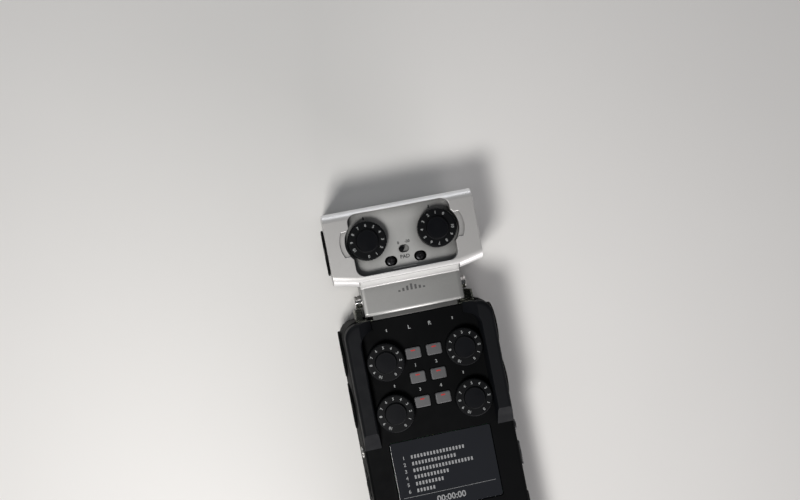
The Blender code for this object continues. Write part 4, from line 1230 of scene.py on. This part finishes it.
def data_socket():
    a, b = where("usb_socket")
    y, z, wall = (a.y + b.y) / 2, SIDE_Z, 0.5
    shell = slab(rounded(a.y, b.y, a.z, b.z, 1.2, steps=8), a.x, b.x, "X")
    mouth = rounded(a.y + wall, b.y - wall, a.z + wall, b.z - wall, 0.8, steps=8)
    cut(shell, slab(mouth, a.x - 2, b.x - 1.5, "X"))
    show("data_socket", shell, STEEL, "recorder", "plated_steel", "usb_socket", edge=0.1)
    tongue = box((a.x + 1.2, y - 2.4, z - 0.35), (b.x - 1, y + 2.4, z + 0.35))
    show("data_tongue", tongue, BLACK, "recorder", "black_plastic", edge=0.1)


def phones_socket():
    a, b = where("phones_socket")
    y, z = (a.y + b.y) / 2, SIDE_Z
    profile = [(1.75, a.x), (2.6, a.x), (2.8, a.x + 0.2), (2.8, b.x), (1.75, b.x)]
    ring = lathe(profile, "X", (0, y, z), 56)
    body = cut(box((a.x + 2.2, a.y, a.z), (b.x, b.y, b.z)), drum((a.x, y, z), 2.7, 60, "X", 48))
    show("phones_ring", ring, STEEL, "recorder", "plated_steel", edge=0.1)
    show("phones_body", body, BLACK, "recorder", "black_plastic", "phones_socket", edge=0.2)


def face_marks():
    """Letters and numbers beside the keys, and an index bar beside each knob."""
    z, index = FACE_Z + PRINT_LIFT, (0.5, 1.3)
    marks = [("L", 2.6, flat(-4.8, -7.2, z)), ("R", 2.6, flat(5.5, -7.2, z))]
    for row, (left, right) in enumerate((("1", "2"), ("3", "4"))):
        y = -26.1 - 12 * row
        marks += [(left, 2.2, flat(-5.2, y, z)), (right, 2.2, flat(5.2, y, z))]
    for x, y in ((-16.0, -6.8), (17.0, -6.8), (-17.2, -34.1), (17.2, -34.1)):
        marks.append((index, 0, flat(x, y, z)))
    show("face_print", lettering(marks), NUMERAL_INK, "recorder", "black_plastic")


def recorder():
    back_shell()
    front_shell()
    side_guard("left", -1)
    side_guard("right", 1)
    dock()
    battery_bay()
    underside()
    for node in TRACK_KEYS:
        key_cap(node)
    transport_keys()
    display()
    volume_dial()
    power_slider()
    menu_key()
    scroll_rocker()
    card_flap()
    data_socket()
    phones_socket()
    face_marks()
    for node in JACKS[:4]:
        jack(node, "recorder")


def inner_nodes():
    """Frame nodes that are shown as they are, with a detailed material."""
    materials = {
        "main_board": BOARD,
        "capsule_board": BOARD,
        "gain_pot_5": STEEL,
        "gain_pot_6": STEEL,
        "speaker": DARK_STEEL,
        "lcd_module": STEEL,
        "memory_card": BLACK,
    }
    for node, material in materials.items():
        obj = frame["nodes"][node]
        obj.data.materials.clear()
        obj.data.materials.append(material)


# ---- stage ----


# In metres and watts
LIGHTS_AIM = Vector((0, 0.08, 0.03))
WINDOW_SIZE = (1.6, 0.4)


def soft_light(name, at, size, power, colour):
    light = bpy.data.lights.new(name, "AREA")
    light.shape = "RECTANGLE"
    light.size, light.size_y = size
    light.energy = power
    light.color = colour
    lamp = add_object(name, light)
    lamp.location = at
    lamp.rotation_euler = (LIGHTS_AIM - Vector(at)).to_track_quat("-Z", "Y").to_euler()


def floor():
    half_size_m = 6.0
    bm = bmesh.new()
    bmesh.ops.create_grid(bm, x_segments=1, y_segments=1, size=half_size_m)
    plane = solid(bm)
    plane.name = "floor"
    made = Finish("pale_floor", (0.8, 0.79, 0.77), 0.7)
    made.mix(made.remap(made.noise(180, 4), 0, 0.5), (0.76, 0.75, 0.73))
    made.bump(made.noise(1.2, 3), 0.05, 0.15)
    plane.data.materials.append(made.material)


def world():
    made = bpy.data.worlds.new("studio")
    made.use_nodes = True
    tree = made.node_tree
    sky = tree.nodes["Background"]
    sky.inputs["Color"].default_value = (0.9, 0.93, 1.0, 1)
    sky.inputs["Strength"].default_value = 0.08
    bpy.context.scene.world = made


def camera():
    """Close view of the capsule, almost straight down and turned a little."""
    at = Vector((-43.4, 22.24 + DOCK_Y, 497.55)) * MM
    right = Vector((0.9781, -0.1906, 0.0843))
    up = Vector((0.1882, 0.9816, 0.0346))
    right.normalize()
    back = right.cross(up).normalized()
    up = back.cross(right)
    data = bpy.data.cameras.new("camera")
    data.lens, data.sensor_width = 42.65, 36.0
    data.clip_start, data.clip_end = 0.01, 50
    made = add_object("camera", data)
    made.matrix_world = Matrix((right, up, back)).transposed().to_4x4()
    made.location = at
    bpy.context.scene.camera = made


capsule()
recorder()
for each in KNOBS:
    knob(each)
inner_nodes()
floor()
world()
camera()
bpy.context.scene.view_settings.view_transform = "Standard"
soft_light("key", (-0.17, -0.12, 0.47), (0.12, 0.12), 1.95, (1.0, 0.985, 0.965))
soft_light("window", (0.45, -1.25, 0.3), WINDOW_SIZE, 21.0, (1.0, 0.965, 0.975))
soft_light("far_window", (-0.1, 1.2, 0.4), WINDOW_SIZE, 4.5, (0.95, 0.97, 1.0))
